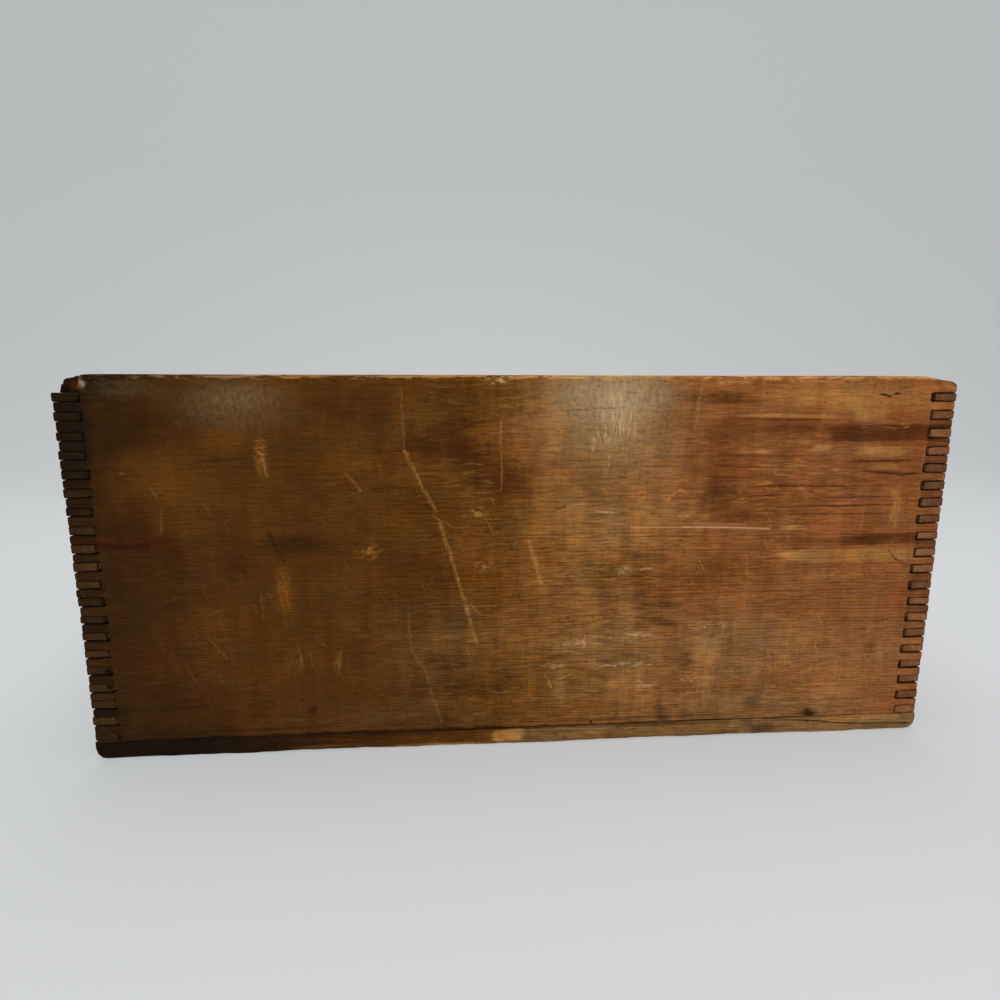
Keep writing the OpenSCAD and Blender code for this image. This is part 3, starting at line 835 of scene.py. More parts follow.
FRONT_SPOTS = (
    (104, 150, 18, 30, "russet", 0.5, 1, 6), (106, 140, 14, 16, "umber", 0.45),
    (-127, 91, 7, 21, "gold", 0.38, 1, 2), (-134, 164, 5, 15, "gold", 0.3),
    (-186, 150, 34, 26, "gold", 0.1), (-196, 164, 14, 8, "gold", 0.1), (-150, 172, 26, 9, "gold", 0.18),
    (-176, 128, 24, 10, "gold", 0.18), (-160, 80, 30, 18, "gold", 0.15),
    (-196, 134, 8, 16, "umber", 0.25, 1, 10), (-150, 108, 16, 12, "umber", 0.25),
    (-204, 70, 10, 26, "umber", 0.35), (-60, 126, 24, 16, "gold", 0.2), (-92, 160, 24, 12, "gold", 0.18),
    (-8, 38, 16, 10, "umber", 0.4, 0.9), (91, 47, 7, 13, "umber", 0.4, 0.9),
    (50, 35, 12, 6, "ochre", 0.35, 0.9), (104, 52, 10, 14, "ochre", 0.35, 0.9),
    (155, 60, 20, 14, "ochre", 0.22), (140, 80, 18, 8, "umber", 0.25), (180, 26, 16, 8, "ochre", 0.25),
    (205, 131, 3.8, 17, "ochre", 0.28, 0.9), (-118, 118, 14, 6, "umber", 0.4, 0.8),
    (-202, 156, 1.6, 1.6, "amber", 0.4, 0.6), (-75, 157, 2.5, 8, "amber", 0.4, 0.9),
    (60, 109, 8, 3.5, "umber", 0.45, 0.9), (199, 53, 6, 9, "umber", 0.45, 0.9, 15),
    (133, 20, 10, 6, "umber", 0.4, 0.8), (78, 17, 6, 11, "umber", 0.5, 0.9),
    (80.5, 21, 2.8, 1.2, "honey", 0.5, 0.6), (-48, 50, 12, 7, "umber", 0.5, 0.9),
    (-116, 25, 4.2, 3, "soot_and_shade", 0.55, 0.9), (166.4, 12.8, 8.2, 4, "soot_and_shade", 0.9, 0.85),
    (38.7, 11.7, 0.9, 0.9, "soot_and_shade", 0.9, 0.3), (191.5, 194.2, 4.4, 0.8, "umber", 0.85, 0.4, 8),
    (198.5, 195.6, 3.4, 0.8, "umber", 0.8, 0.4, 4), (104, 35, 4, 26, "ochre", 0.3, 0.9),
    (66, 34, 4, 20, "ochre", 0.28, 0.9), (150, 50, 5, 22, "ochre", 0.25, 0.9),
    (22, 30, 7, 16, "ochre", 0.3, 0.9, 10), (176, 62, 4, 14, "ochre", 0.22, 0.9),
    (117, 60, 3, 12, "umber", 0.25, 0.9), (45, 40, 3, 16, "umber", 0.22, 0.9),
)
FRONT_GOLD = (
    (-82, 113, 10, 6, "gold", 0.8, 0.9), (-82, 113, 8, 5, "ochre", 0.14, 0.9),
    (-134, 165, 4, 13, "ochre", 0.35, 0.9), (-127, 97, 5, 10, "ochre", 0.2, 0.9),
    (-26, 133, 9, 5, "ochre", 0.55, 0.9), (-22, 105, 8, 5, "ochre", 0.45, 0.9),
    (55, 100.5, 7, 4, "bloom_and_reflection", 0.55), (66, 101.5, 8, 1.4, "bare", 0.5), (62, 63, 14, 3, "bare", 0.5),
    (30, 59, 16, 3, "bare", 0.45), (56, 45.6, 20, 2.2, "bare", 0.55), (16, 46, 14, 2.2, "bare", 0.4),
    (68, 33, 10, 3, "bare", 0.45), (104, 68, 20, 3, "bare", 0.35), (96, 36, 18, 3, "bare", 0.35),
    (120, 84, 30, 4, "ochre", 0.3), (170, 96, 30, 4, "ochre", 0.3), (-13, 202, 11, 2.4, "bare", 0.7, 0.8),
    (105, 201, 16, 2.2, "ochre", 0.6, 0.8), (178, 188, 9, 5, "ochre", 0.5),
    (150, 202, 70, 3.2, "ochre", 0.55),
)
FRONT_CORNER = (
    (-206, 207, 44, 7, "soot_and_shade", 0.95, 0.6), (-226, 176, 14, 34, "soot_and_shade", 0.85, 0.5),
    (-226, 205, 14, 3.4, "soot_and_shade", 0.8, 0.5), (-219.2, 199.4, 5, 3.2, "hazel", 0.75, 0.6, 15),
    (-218.2, 199.8, 4.4, 2.4, "bloom_and_reflection", 0.75, 0.8, 15), (-224.4, 199, 1.8, 3.4, "russet", 0.75, 0.5),
    # The ochre spot at the right top corner, in the next row, is a painted highlight on the worn corner.
    (-229, 198.5, 2.4, 3, "soot_and_shade", 0.9, 0.4), (226.5, 199, 5.5, 2.2, "ochre", 0.55, 0.9, -20),
    # The long patch 10 mm up, in the next row, is the dark seam over the bottom board: dirt and painted
    # shade of the gap.
    (-226, 27, 12, 3.2, "soot_and_shade", 0.85, 0.6), (-120, 10, 280, 1.5, "soot_and_shade", 0.85, 0.7),
)
# Pale bloom below the rim, in the middle and at the left, partly painted reflection of the light in the
# varnish.
FRONT_BLOOM_AND_REFLECTIONS = (
    (46, 182, 60, 42, "bloom_and_reflection", 0.28), (44, 196, 46, 22, "bloom_and_reflection", 0.55), (48, 187, 15, 16, "bloom_and_reflection", 0.45),
    (-146, 190, 44, 20, "green_bloom_and_reflection", 0.4, 1, -2), (-142, 194, 26, 9, "green_bloom_and_reflection", 0.3),
    (-196, 198, 26, 8, "green_bloom_and_reflection", 0.22),
)
FRONT_STREAKS = (
    (48, 184, 16, 22, "bare", 0.8), (40, 172, 10, 8, "bare", 0.45), (66, 192, 16, 10, "bare", 0.35),
    (104, 30, 16, 24, "ochre", 0.3), (150, 44, 36, 26, "ochre", 0.22), (60, 34, 22, 20, "ochre", 0.26),
    (205, 133, 5, 16, "ochre", 0.5, 0.8), (-127, 88, 7, 21, "gold", 0.6), (-134, 164, 5, 14, "gold", 0.5),
    (-120, 54, 14, 14, "ochre", 0.14), (-100, 52, 8, 10, "ochre", 0.16), (110, 66, 26, 16, "ochre", 0.25),
)

# A scratch is its half width, strength, tone and the points x, z that it runs through.
FRONT_SCRATCHES = (
    (1.2, 0.18, "ochre", ((-63, 198), (-62.5, 166))),
    (1.8, 0.38, "ochre", ((-62, 166), (-55, 150), (-47, 135))),
    (1.8, 0.42, "ochre", ((-45, 128), (-41, 115), (-36, 98), (-31, 80), (-26, 61))),
    (0.69, 0.36, "ochre", ((-48, 132), (-39, 126))), (0.8, 0.36, "ochre", ((-12.8, 181), (-12.5, 146))),
    (0.8, 0.36, "ochre", ((-93, 155), (-85, 146))),
    (1.03, 0.22, "ochre", ((-62.5, 78), (-61.7, 58), (-54, 45), (-50, 28), (-46, 15))),
    (0.92, 0.36, "honey", ((-168, 68), (-159, 55.5))), (0.69, 0.32, "honey", ((-191, 150), (-187, 143))),
    (1.15, 0.29, "honey", ((-185, 137), (-187, 125))), (0.69, 0.29, "honey", ((-139, 93), (-139, 78))),
    (0.8, 0.32, "honey", ((-112, 66), (-106, 60))), (1.15, 0.40, "honey", ((-99, 58), (-101, 46))),
    (1.15, 0.29, "honey", ((-122, 61), (-119, 51))), (0.6, 0.35, "ochre", ((-137, 172), (-131.5, 172.6))),
    (0.6, 0.35, "ochre", ((-137, 168.4), (-131.5, 169))),
    (0.6, 0.35, "ochre", ((-136, 164.6), (-131, 165.2))), (1.38, 0.32, "ochre", ((-134, 163), (-132, 154))),
    (1.3, 0.60, "ochre", ((76, 139), (82.5, 144.7), (88, 143))),
    (1.7, 0.65, "ochre", ((1.7, 118), (5.8, 106), (9, 94.7))),
    (0.69, 0.40, "ochre", ((132.3, 131), (135, 123.3))), (0.8, 0.36, "ochre", ((122, 108.5), (124, 95))),
    (0.69, 0.29, "ochre", ((115, 151), (119, 146))), (0.69, 0.29, "ochre", ((186.5, 132), (186.5, 122))),
    (1.49, 0.43, "ochre", ((92, 198), (90, 187))), (0.92, 0.36, "ochre", ((91, 186), (89, 177))),
    (1.15, 0.54, "bare", ((49, 195), (51, 176))), (0.92, 0.47, "bare", ((57, 180), (57.5, 171))),
    (1.03, 0.47, "bare", ((36, 172), (35.5, 166))), (0.92, 0.40, "bare", ((44, 163), (44, 158))),
    (0.69, 0.43, "bare", ((27, 62), (35, 59.5))), (0.69, 0.36, "bare", ((34, 64), (33, 56))),
    (0.8, 0.36, "ochre", ((65, 65), (68, 61))), (0.8, 0.29, "ochre", ((-5, 46), (-38, 45))),
    (2.0, 0.60, "soot_and_shade", ((-133, 124), (-126, 108))),
    (1.1, 0.75, "umber", ((204, 108.5), (209, 104), (215.3, 100.7))),
    (0.7, 0.60, "umber", ((18, 186.5), (46, 188))), (0.9, 0.80, "umber", ((16.5, 134.6), (21, 136.4))),
    (0.6, 0.70, "soot_and_shade", ((38.6, 75.6), (37.6, 72.6))), (0.8, 0.60, "umber", ((-18, 64), (-15, 61.5))),
    (0.9, 0.60, "bare", ((33, 61.5), (33, 56.5))), (0.8, 0.60, "bare", ((23, 59.2), (43, 58.6))),
    (0.8, 0.60, "bare", ((40.5, 46.0), (51.5, 45.2))), (0.8, 0.50, "bare", ((58, 64.3), (71, 63.2))),
    (0.8, 0.50, "bare", ((64.6, 45.6), (72, 45.4))), (0.7, 0.40, "ochre", ((-31, 82.2), (-16, 82.0))),
    (0.7, 0.40, "ochre", ((87, 23), (101, 22))), (0.8, 0.45, "ochre", ((15, 46.6), (25, 46.2))),
    (1.0, 0.60, "bare", ((38, 133.6), (47, 132.6))), (0.9, 0.60, "bare", ((83, 130.2), (88.5, 130.0))),
    (0.9, 0.45, "bare", ((12, 41), (15.5, 33))), (0.8, 0.40, "bare", ((20, 38), (27, 41.5))),
    (0.8, 0.40, "bare", ((64, 36), (72, 32.5))), (0.7, 0.35, "ochre", ((-29, 83), (-23.5, 76.5))),
    (0.7, 0.35, "ochre", ((14, 77), (18, 74))),
)
FRONT_SCORES = (
    (0.8, 0.32, "bare", ((57, 124.6), (90, 124.1))),
    (0.9, 0.60, "bare", ((86, 124.2), (110, 123.7), (134, 122.6))),
    (0.5, 0.35, "bare", ((92, 125.6), (120, 125.2))),
)

# Marks on the front edge of the bottom board.
# Tone along the front edge: darker to the left, partly its own tone and partly painted shade where the light
# falls off.
BOTTOM_RAMP_WITH_SHADE = (
    (0.00, "soot_and_shade"), (0.05, "soot_and_shade"), (0.13, "umber"), (0.25, "walnut"), (0.40, "walnut"), (0.48, "chestnut"),
    (0.54, "dust"), (0.70, "hazel"), (1.00, "dust"),
)
BOTTOM_SPOTS = (
    (-52, 0.6, 40, 2, "ochre", 0.55, 0.6), (49, 0.9, 26, 2.2, "amber", 0.65, 0.6),
    (95, 0.6, 18, 1.8, "amber", 0.5, 0.7), (140, 4, 12, 5, "umber", 0.55, 0.7),
    # The long dark patch 10 mm up, in the next row, is the seam under the front wall: dirt and painted shade
    # of the gap.
    (-110, 2, 26, 2.4, "hazel", 0.4, 0.8), (-40, 10, 200, 1.8, "soot_and_shade", 0.8, 0.7),
    (195, 8, 36, 3, "ochre", 0.45, 0.7, -2), (80, 8.4, 70, 1.4, "umber", 0.5, 0.8),
    (-80, 8, 60, 1.6, "umber", 0.5, 0.8), (118, 2.4, 16, 2, "umber", 0.4, 0.8),
    (20, 6, 12, 2, "umber", 0.35, 0.8),
)
BOTTOM_PATCH = ((-8.7, 5, 10.2, 4.2, "ochre", 0.8, 0.35, 4),)
# A dark line along the seam where the board's top edge falls away: dirt and painted shade of the gap.
BOTTOM_LINES = ((0.9, 0.80, "soot_and_shade", ((140, 9.8), (165, 7.6), (195, 4.6), (228, 3.8))),)

# Old nail holes in the left end's finger ends, as seen on the front: black marks with no recess, painted
# shade of the holes.
LEFT_END_HOLE_SHADE = (
    (-221.2, 50.4, 2.2, 2, "soot_and_shade", 1, 0.4), (-221.4, 41.2, 2, 1.8, "soot_and_shade", 1, 0.4),
)


def add_patches(net, base, point, patches, tones, veil=None, corner=ROUND):
    """Lays soft patches over a colour, one after another."""
    tree = stain()
    for row in patches:
        patch = Patch(*row)
        cos, sin = math.cos(math.radians(patch.turn)) / MM, math.sin(math.radians(patch.turn)) / MM
        mask = net.group(
            tree, Point=point, Centre=(patch.x * MM, FRONT, patch.z * MM),
            Along=(cos / patch.length, 0, sin / patch.length),
            Across=(-sin / patch.height, 0, cos / patch.height), Softness=patch.softness, Corner=corner
        )["Mask"]
        if veil is not None:
            mask = net.times(mask, veil)
        base = net.blend(net.times(mask, patch.strength), base, tones[patch.tone])
    return base


def add_lines(net, base, point, lines, tones, breaks=None):
    """Lays scratches over a colour, one after another."""
    tree = scratch()
    for width, strength, name, path in lines:
        for (x0, z0), (x1, z1) in zip(path, path[1:]):
            mask = net.group(
                tree, Point=point, Start=(x0 * MM, FRONT, z0 * MM), End=(x1 * MM, FRONT, z1 * MM),
                Width=width * MM
            )["Mask"]
            if breaks is not None:
                mask = net.times(mask, breaks)
            base = net.blend(net.times(mask, strength), base, tones[name])
    return base


def warped(net, point, stretch, reach, detail=3.0):
    """The point moved about by noise."""
    noise = net.add("TexNoise", net.scaled(point, stretch))
    noise.inputs["Scale"].default_value = 1
    noise.inputs["Detail"].default_value = detail
    parts = net.add("SeparateColor", noise.outputs["Color"])
    centred = net.vector("SUBTRACT", net.add("CombineXYZ", *parts.outputs).outputs[0], (0.5, 0.5, 0.5))
    return net.vector("ADD", point, net.vector("MULTIPLY", centred, reach))


def wood_tones():
    """The wood's tones, by name."""
    wood = bpy.context.scene.box_wood
    return {key: tuple(getattr(wood, key)) for key in WoodSettings.__annotations__}


def ramp_along(net, value, stops, tones):
    """Colour that runs through named tones."""
    node = net.add("ValToRGB", value)
    node.color_ramp.interpolation = "B_SPLINE"
    for index, (at, key) in enumerate(stops):
        element = node.color_ramp.elements[index] if index < 2 else node.color_ramp.elements.new(at)
        element.position = at
        element.color = (*tones[key], 1)
    return node.outputs[0]


class AgedWood:
    """Varnished wood that has darkened, worn and been scratched, in layers. order gives the axes
    along the grain, through the board and across it; outward is the axis and side of its varnished
    face."""

    def __init__(self, name, order, pith, outward, shift=0.0):
        self.material, self.net = clear_material(name)
        self.tones = wood_tones()
        self.order, self.outward = order, outward
        wear = bpy.context.scene.box_wear
        net = self.net
        point, self.places, self.normals, self.plain = board_point(net, *order)
        self.own = net.vector("ADD", point, (shift, 0, 0))
        self.rings = net.group(growth_rings(), Point=self.own, Pith=pith, Ring=wear.ring, Wave=0.007)
        self.dirt = net.group(mottle(), Point=self.own)
        self.base = None

    def tint(self, dark, light, band):
        """Plain colour of an unmarked board."""
        net, tones = self.net, self.tones
        blotch = net.stretched(self.own, (8, 22, 22), 3, 0.6)
        self.base = net.blend(net.remap(blotch, 0.3, 0.7), tones[dark], tones[light])
        self.base = net.blend(net.remap(self.rings["Band"], 0.5, 0.75, 0, 0.5), self.base, tones[band])

    def fingers(self, axis, half, depth):
        """Dark lines between the fingers, dirt and painted shade of the gaps, and each finger has its own
        tone.
        The wall runs along axis, half its length to each side, and its joints are depth long."""
        net = self.net
        reach = net.minus(half, net.math("ABSOLUTE", self.places[axis]))
        height = net.add("Attribute", attribute_name="finger_height").outputs["Fac"]
        made = net.group(
            finger_lines(), Point=self.own, Place=self.plain, Height=height, Distance=reach, Depth=depth,
            Width=JOINT_LINE
        )
        self.base = net.shaded(self.base, made["Shade"])
        # The dark lines between the fingers are dirt and painted shade of the gaps.
        self.base = net.blend(net.times(made["Mask"], 0.85), self.base, self.tones["soot_and_shade"])

    def grain(self, strength, dirt=1.0, fibre=1.0):
        """Growth rings, fibres and dirt, over what is there."""
        net = self.net
        shade = net.math("MULTIPLY_ADD", net.minus(self.dirt["Shade"], 1.0), dirt, 1.0)
        lines = net.times(self.rings["Late"], strength)
        base = net.blend(lines, self.base, net.blend(1.0, self.base, (0.36, 0.28, 0.22), "MULTIPLY"))
        base = net.shaded(base, net.remap(self.rings["Fibre"], 0.34, 0.66, 0.85, 1.14), fibre)
        base = net.shaded(base, shade)
        base = net.blend(net.remap(self.dirt["Hue"], 0.52, 0.68), base, (0.92, 1.0, 1.18), "MULTIPLY")
        base = net.blend(net.remap(self.dirt["Hue"], 0.48, 0.32), base, (1.06, 0.97, 0.84), "MULTIPLY")
        base = net.blend(net.times(self.dirt["Pits"], 0.6), base, self.tones["soot_and_shade"])
        self.base = net.blend(net.times(self.dirt["Specks"], 0.3), base, self.tones["amber"])

    def worn(self, strength, key):
        """Wear along the grain, down to paler wood."""
        net = self.net
        self.base = net.blend(net.times(self.dirt["Wear"], strength), self.base, self.tones[key])

    def scuff(self, strength, key):
        """Scuffs, down to paler wood."""
        net = self.net
        mask = net.group(scuffs(), Point=self.own)["Mask"]
        self.base = net.blend(net.times(mask, strength), self.base, self.tones[key])

    def inner_face(self, within=1.0):
        """Bare wood on the side that never was varnished."""
        net = self.net
        axis, side = self.outward
        inner = net.remap(net.times(self.normals[axis], -float(side)), 0.3, 0.8)
        lines = net.times(self.rings["Late"], 0.8)
        bare = net.blend(lines, self.tones["inside"], self.tones["chestnut"])
        shade = net.times(net.remap(self.dirt["Broad"], 0.30, 0.70, 0.72, 1.14),
                         net.remap(self.rings["Fibre"], 0.34, 0.66, 0.86, 1.12))
        bare = net.shaded(bare, shade)
        bare = net.blend(net.times(self.dirt["Pits"], 0.5), bare, self.tones["umber"])
        self.base = net.blend(net.times(inner, within), self.base, bare)

    def rim(self, width, key, strength=0.85):
        """Wear along the rim."""
        net = self.net
        gap = net.minus(RIM, self.places[Z])
        edge = net.group(worn_edge(), Point=self.own, Distance=gap, Width=width)["Mask"]
        pale = net.stretched(self.own, (35, 200, 200))
        worn = net.blend(net.remap(pale, 0.45, 0.75, 0, 0.7), self.tones[key], self.tones["bare"])
        worn = net.shaded(worn, self.dirt["Shade"])
        self.base = net.blend(net.times(edge, strength), self.base, worn)

    def end_faces(self, end_tone):
        """End grain."""
        net = self.net
        end = net.remap(net.math("ABSOLUTE", self.normals[self.order[0]]), 0.5, 0.85)
        late = net.times(self.rings["Late"], 0.25)
        sawn = net.blend(late, self.tones[end_tone], self.tones["umber"])
        sawn = net.shaded(sawn, self.dirt["Shade"])
        self.base = net.blend(end, self.base, sawn)

    def finish(self, joint_dirt_and_shade=0.8):
        """Dark joints, dirt with painted shade in the crevices, and the shader."""
        net = self.net
        # The marked bevels are darkened: dirt and painted shade in the crevices between the boards.
        mark = net.add("Attribute", attribute_name="joint_dirt_and_shade")
        uneven = net.remap(net.noise(self.own, 130, 2), 0.36, 0.60, 0.45, 1.1)
        mask = net.times(net.times(mark.outputs["Fac"], joint_dirt_and_shade), uneven)
        self.base = net.blend(mask, self.base, self.tones["soot_and_shade"])
        rough = net.remap(self.dirt["Shade"], 0.6, 1.3, 0.72, 0.48)
        height = net.math("MULTIPLY_ADD", self.rings["Late"], 0.6, self.rings["Fibre"])
        finish_material(net, self.base, rough, height, 0.0002, 0.07, (1.0, 0.75, 0.5))
        return self.material


def front_wood():
    """The front wall's wood, with the marks that it has gathered."""
    wood = AgedWood("Front wall varnish", (X, Y, Z), (0, FRONT - 0.06, 0.188), (Y, -1))
    net, tones, plain = wood.net, wood.tones, wood.plain
    # Darker to the left: the varnish's tone, partly with painted shade where the light falls off.
    base = ramp_along(net, net.remap(wood.places[X], -END, END), FRONT_RAMP_WITH_SHADE, tones)
    base = add_patches(net, base, warped(net, plain, (14, 1, 90), (0.044, 0, 0.007), 4), FRONT_FIELDS, tones)
    base = add_patches(
        net, base, warped(net, plain, (22, 1, 120), (0.030, 0, 0.0036)), FRONT_BANDS, tones, corner=SQUARE
    )
    blot = warped(net, plain, (120, 120, 120), (0.006, 0, 0.005), 2)
    wood.base = add_patches(net, base, blot, FRONT_SPOTS, tones)
    worn_side = net.remap(wood.places[X], -0.13, 0.03, 0.50, 1.0)
    dirty = net.times(net.remap(wood.places[X], -0.13, 0.0, 0.65, 1.30),
                     net.remap(wood.places[X], 0.06, 0.13, 1.0, 0.65))
    wood.grain(
        net.times(net.remap(wood.places[Z], 0.115, 0.15, 0.70, 0.40), worn_side), dirty, worn_side
    )
    wood.worn(net.remap(wood.places[X], -0.12, 0.06, 0.04, 0.36), "ochre")
    grainy = net.remap(net.stretched(plain, (260, 260, 480), 3, 0.7), 0.44, 0.60)
    wood.base = add_patches(net, wood.base, blot, FRONT_GOLD, tones, grainy)
    speckle = net.remap(net.stretched(plain, (520, 520, 320), 4, 0.75), 0.34, 0.64, 0.35, 1.15)
    # Pale and greenish bloom below the rim, partly painted reflection of the light in the varnish.
    wood.base = add_patches(net, wood.base, blot, FRONT_BLOOM_AND_REFLECTIONS, tones, speckle)
    streaky = net.remap(net.stretched(plain, (560, 560, 110), 3, 0.7), 0.46, 0.62)
    wood.base = add_patches(net, wood.base, blot, FRONT_STREAKS, tones, streaky)
    wood.scuff(net.remap(wood.places[X], -0.12, 0.08, 0.08, 0.30), "ochre")
    breaks = net.remap(net.noise(plain, 600, 3, 0.65), 0.34, 0.60)
    rough = warped(net, plain, (200, 200, 200), (0.0024, 0, 0.0024), 3)
    wood.base = add_lines(net, wood.base, rough, FRONT_SCRATCHES, tones, breaks)
    wood.base = add_lines(net, wood.base, plain, FRONT_SCORES, tones)
    wood.inner_face()
    wood.end_faces("end_grain")
    wood.rim(2 * MM, "ochre", net.remap(wood.places[X], -0.16, 0.06, 0.45, 0.85))
    # Marks at the corners and along the seam over the bottom board: the seam is dirt with painted shade of
    # the gap, and the ochre spot on the right top corner is a painted highlight.
    wood.base = add_patches(net, wood.base, blot, FRONT_CORNER, tones)
    wood.fingers(X, END, LONG_JOINT)
    return wood.finish()


def bottom_wood(name, front, shift):
    """A bottom board's wood; the front one has the marks on its front edge."""
    wood = AgedWood(name, (X, Z, Y), (0, -0.05, -0.06 if front else 0.06), (Z, -1), shift)
    net, tones, plain = wood.net, wood.tones, wood.plain
    wood.tint("umber", "chestnut", "hazel")
    if front:
        # Darker to the left, partly painted shade where the light falls off.
        marked = ramp_along(net, net.remap(wood.places[X], -END, END), BOTTOM_RAMP_WITH_SHADE, tones)
        blot = warped(net, plain, (60, 60, 200), (0.010, 0, 0.002), 2)
        marked = add_patches(net, marked, blot, BOTTOM_SPOTS, tones)
        marked = add_patches(net, marked, blot, BOTTOM_PATCH, tones, corner=SQUARE)
        marked = add_lines(net, marked, blot, BOTTOM_LINES, tones)
        wood.base = net.blend(net.remap(wood.normals[Y], -0.1, -0.5), wood.base, marked)
    wood.grain(0.7)
    wear = net.remap(wood.places[X], -0.12, 0.05, 0.0, 0.3) if front else 0.3
    wood.worn(wear, "ochre")
    wood.scuff(wear, "ochre")
    wood.inner_face(net.remap(net.math("ABSOLUTE", wood.places[Y]), -FRONT - 8 * MM, -FRONT - 9 * MM))
    wood.end_faces("end_grain")
    return wood.finish(0.5)


def plain_wood(
    name, order, pith, outward, tints, shift, end_tone="end_grain", rim=None, fingers=None, darkening=0,
    hole_shade=()
):
    """Wood of a board with few marks of its own. fingers gives the axis along the wall, the wall's half
    length, and the depth of its finger joints; darkening blackens it towards the rim and the front;
    hole_shade lists black marks on its front end, painted shade of old nail holes."""
    wood = AgedWood(name, order, pith, outward, shift)
    net = wood.net
    wood.tint(*tints)
    wood.grain(0.7, 0.65)
    wood.worn(0.3, "ochre")
    wood.scuff(0.3, "ochre")
    wood.inner_face()
    if rim:
        wood.rim(rim, "ochre")
    wood.end_faces(end_tone)
    if darkening:
        # Darker towards the rim and towards the front.
        dark = net.remap(wood.places[Z], 0.105, 0.165, 0.2 * darkening, darkening)
        toward_front = net.remap(wood.places[Y], FRONT + 15 * MM, FRONT + 90 * MM, 1.0, 0.25)
        wood.base = net.blend(net.times(dark, toward_front), wood.base, wood.tones["soot_and_shade"])
    if hole_shade:
        # Black marks where old nail holes are: painted shade of the holes.
        front_end = net.remap(wood.places[Y], FRONT + 1 * MM, FRONT + 3 * MM, 1.0, 0.0)
        wood.base = add_patches(net, wood.base, wood.plain, hole_shade, wood.tones, front_end)
    if fingers:
        wood.fingers(*fingers)
    return wood.finish()


def iron(name, shine):
    """Dark iron with rust in its pits."""
    settings = bpy.context.scene.box_iron
    material, net = clear_material(name)
    coords = net.add("TexCoord")
    point = coords.outputs["Object"]
    pits = net.noise(point, 420, 4, 0.65)
    cloud = net.noise(point, 90, 3, 0.6)
    rusty = net.times(net.remap(pits, 0.44, 0.62), net.remap(cloud, 0.36, 0.62))
    base = net.blend(net.remap(cloud, 0.3, 0.7), tuple(settings.scale), tuple(settings.rubbed))
    base = net.blend(0.45, base, tuple(settings.scale))
    base = net.blend(rusty, base, tuple(settings.rust))
    metallic = net.remap(rusty, 0.0, 0.6, shine, 0.0)
    rough = net.remap(rusty, 0.0, 0.8, 0.42, 0.85)
    finish_material(net, base, rough, pits, 0.00012, 0.5, metallic=metallic)
    return material


def dress_iron(nodes, material, bevel):
    """Gives CAD ironwork its finish and worn edges."""
    for node in nodes:
        piece = frame["nodes"][node]
        piece.data.materials.clear()
        piece.data.materials.append(material)
        edge = piece.modifiers.new("Worn edges", "BEVEL")
        edge.width = bevel
        edge.segments = 2
        edge.limit_method = "ANGLE"
        edge.angle_limit = math.radians(50)
        edge.harden_normals = False


def title(node, finish):
    """Plain name of a board's finish."""
    return node.replace("_", " ").capitalize() + " " + finish


class BOX_OT_front_wall(bpy.types.Operator):
    """Makes the front wall with its stains, scratches and broken finger"""

    bl_idname = "coffee_box.front_wall"
    bl_label = "Front wall"

    def execute(self, context):
        wear = context.scene.box_wear
        worn_board(
            "front_wall", "front_wall_wood", X, Y, front_wood(), 21,
            ((Y, -1, Z, 1, wear.rim_arris), (Y, 1, Z, 1, wear.arris), (Y, -1, Z, -1, wear.arris)),
            shape=front_shape,
            cuts=[side * (END - inset * MM) for side in (-1, 1) for inset in CORNER_CUTS]
        )
        return {"FINISHED"}


class BOX_OT_back_wall(bpy.types.Operator):
    """Makes the back wall"""

    bl_idname = "coffee_box.back_wall"
    bl_label = "Back wall"

    def execute(self, context):
        wear = context.scene.box_wear
        wood = plain_wood(
            "Back wall varnish", (X, Y, Z), (0, 0.21, 0.04), (Y, 1), ("walnut", "hazel", "amber"), 3.1,
            rim=2 * MM, fingers=(X, END, LONG_JOINT)
        )
        worn_board(
            "back_wall", "back_wall_wood", X, Y, wood, 22,
            ((Y, 1, Z, 1, wear.arris), (Y, 1, Z, -1, wear.arris)), shape=back_shape
        )
        return {"FINISHED"}


class BOX_OT_end_walls(bpy.types.Operator):
    """Makes the two end walls, whose finger ends show at the corners"""

    bl_idname = "coffee_box.end_walls"
    bl_label = "End walls"

    def execute(self, context):
        wear = context.scene.box_wear
        for name, side, seed, tints, end_tone, darkening, hole_shade in (
            ("left_end", -1, 23, ("umber", "walnut", "russet"), "grime", 0.90, LEFT_END_HOLE_SHADE),
            ("right_end", 1, 24, ("walnut", "hazel", "amber"), "end_grain", 0, ()),
        ):
            wood = plain_wood(
                title(name, "varnish"), (Y, X, Z), (0, side * 0.29, 0.11), (X, side),
                tints, seed * APART, end_tone, 2 * MM, (Y, -FRONT, END_JOINT), darkening, hole_shade
            )
            inner = 3.6
            worn_board(
                name, name + "_wood", Y, X, wood, seed,
                ((X, side, Z, 1, wear.arris), (X, -side, Z, 1, wear.arris), (X, side, Z, -1, wear.arris)),
                (inner, 1) if side > 0 else (1, inner), end_shape
            )
        return {"FINISHED"}


class BOX_OT_bottom(bpy.types.Operator):
    """Makes the two bottom boards"""

    bl_idname = "coffee_box.bottom"
    bl_label = "Bottom boards"

    def execute(self, context):
        wear = context.scene.box_wear
        for name, seed, side in (("bottom_front_board", 25, -1), ("bottom_rear_board", 26, 1)):
            wood = bottom_wood(title(name, "wood"), side < 0, seed * APART)
            worn_board(
                name, name + "_wood", X, Z, wood, seed,
                ((Y, side, Z, -1, 1.6 * wear.arris), (Y, side, Z, 1, 0.6 * wear.arris))
            )
        return {"FINISHED"}


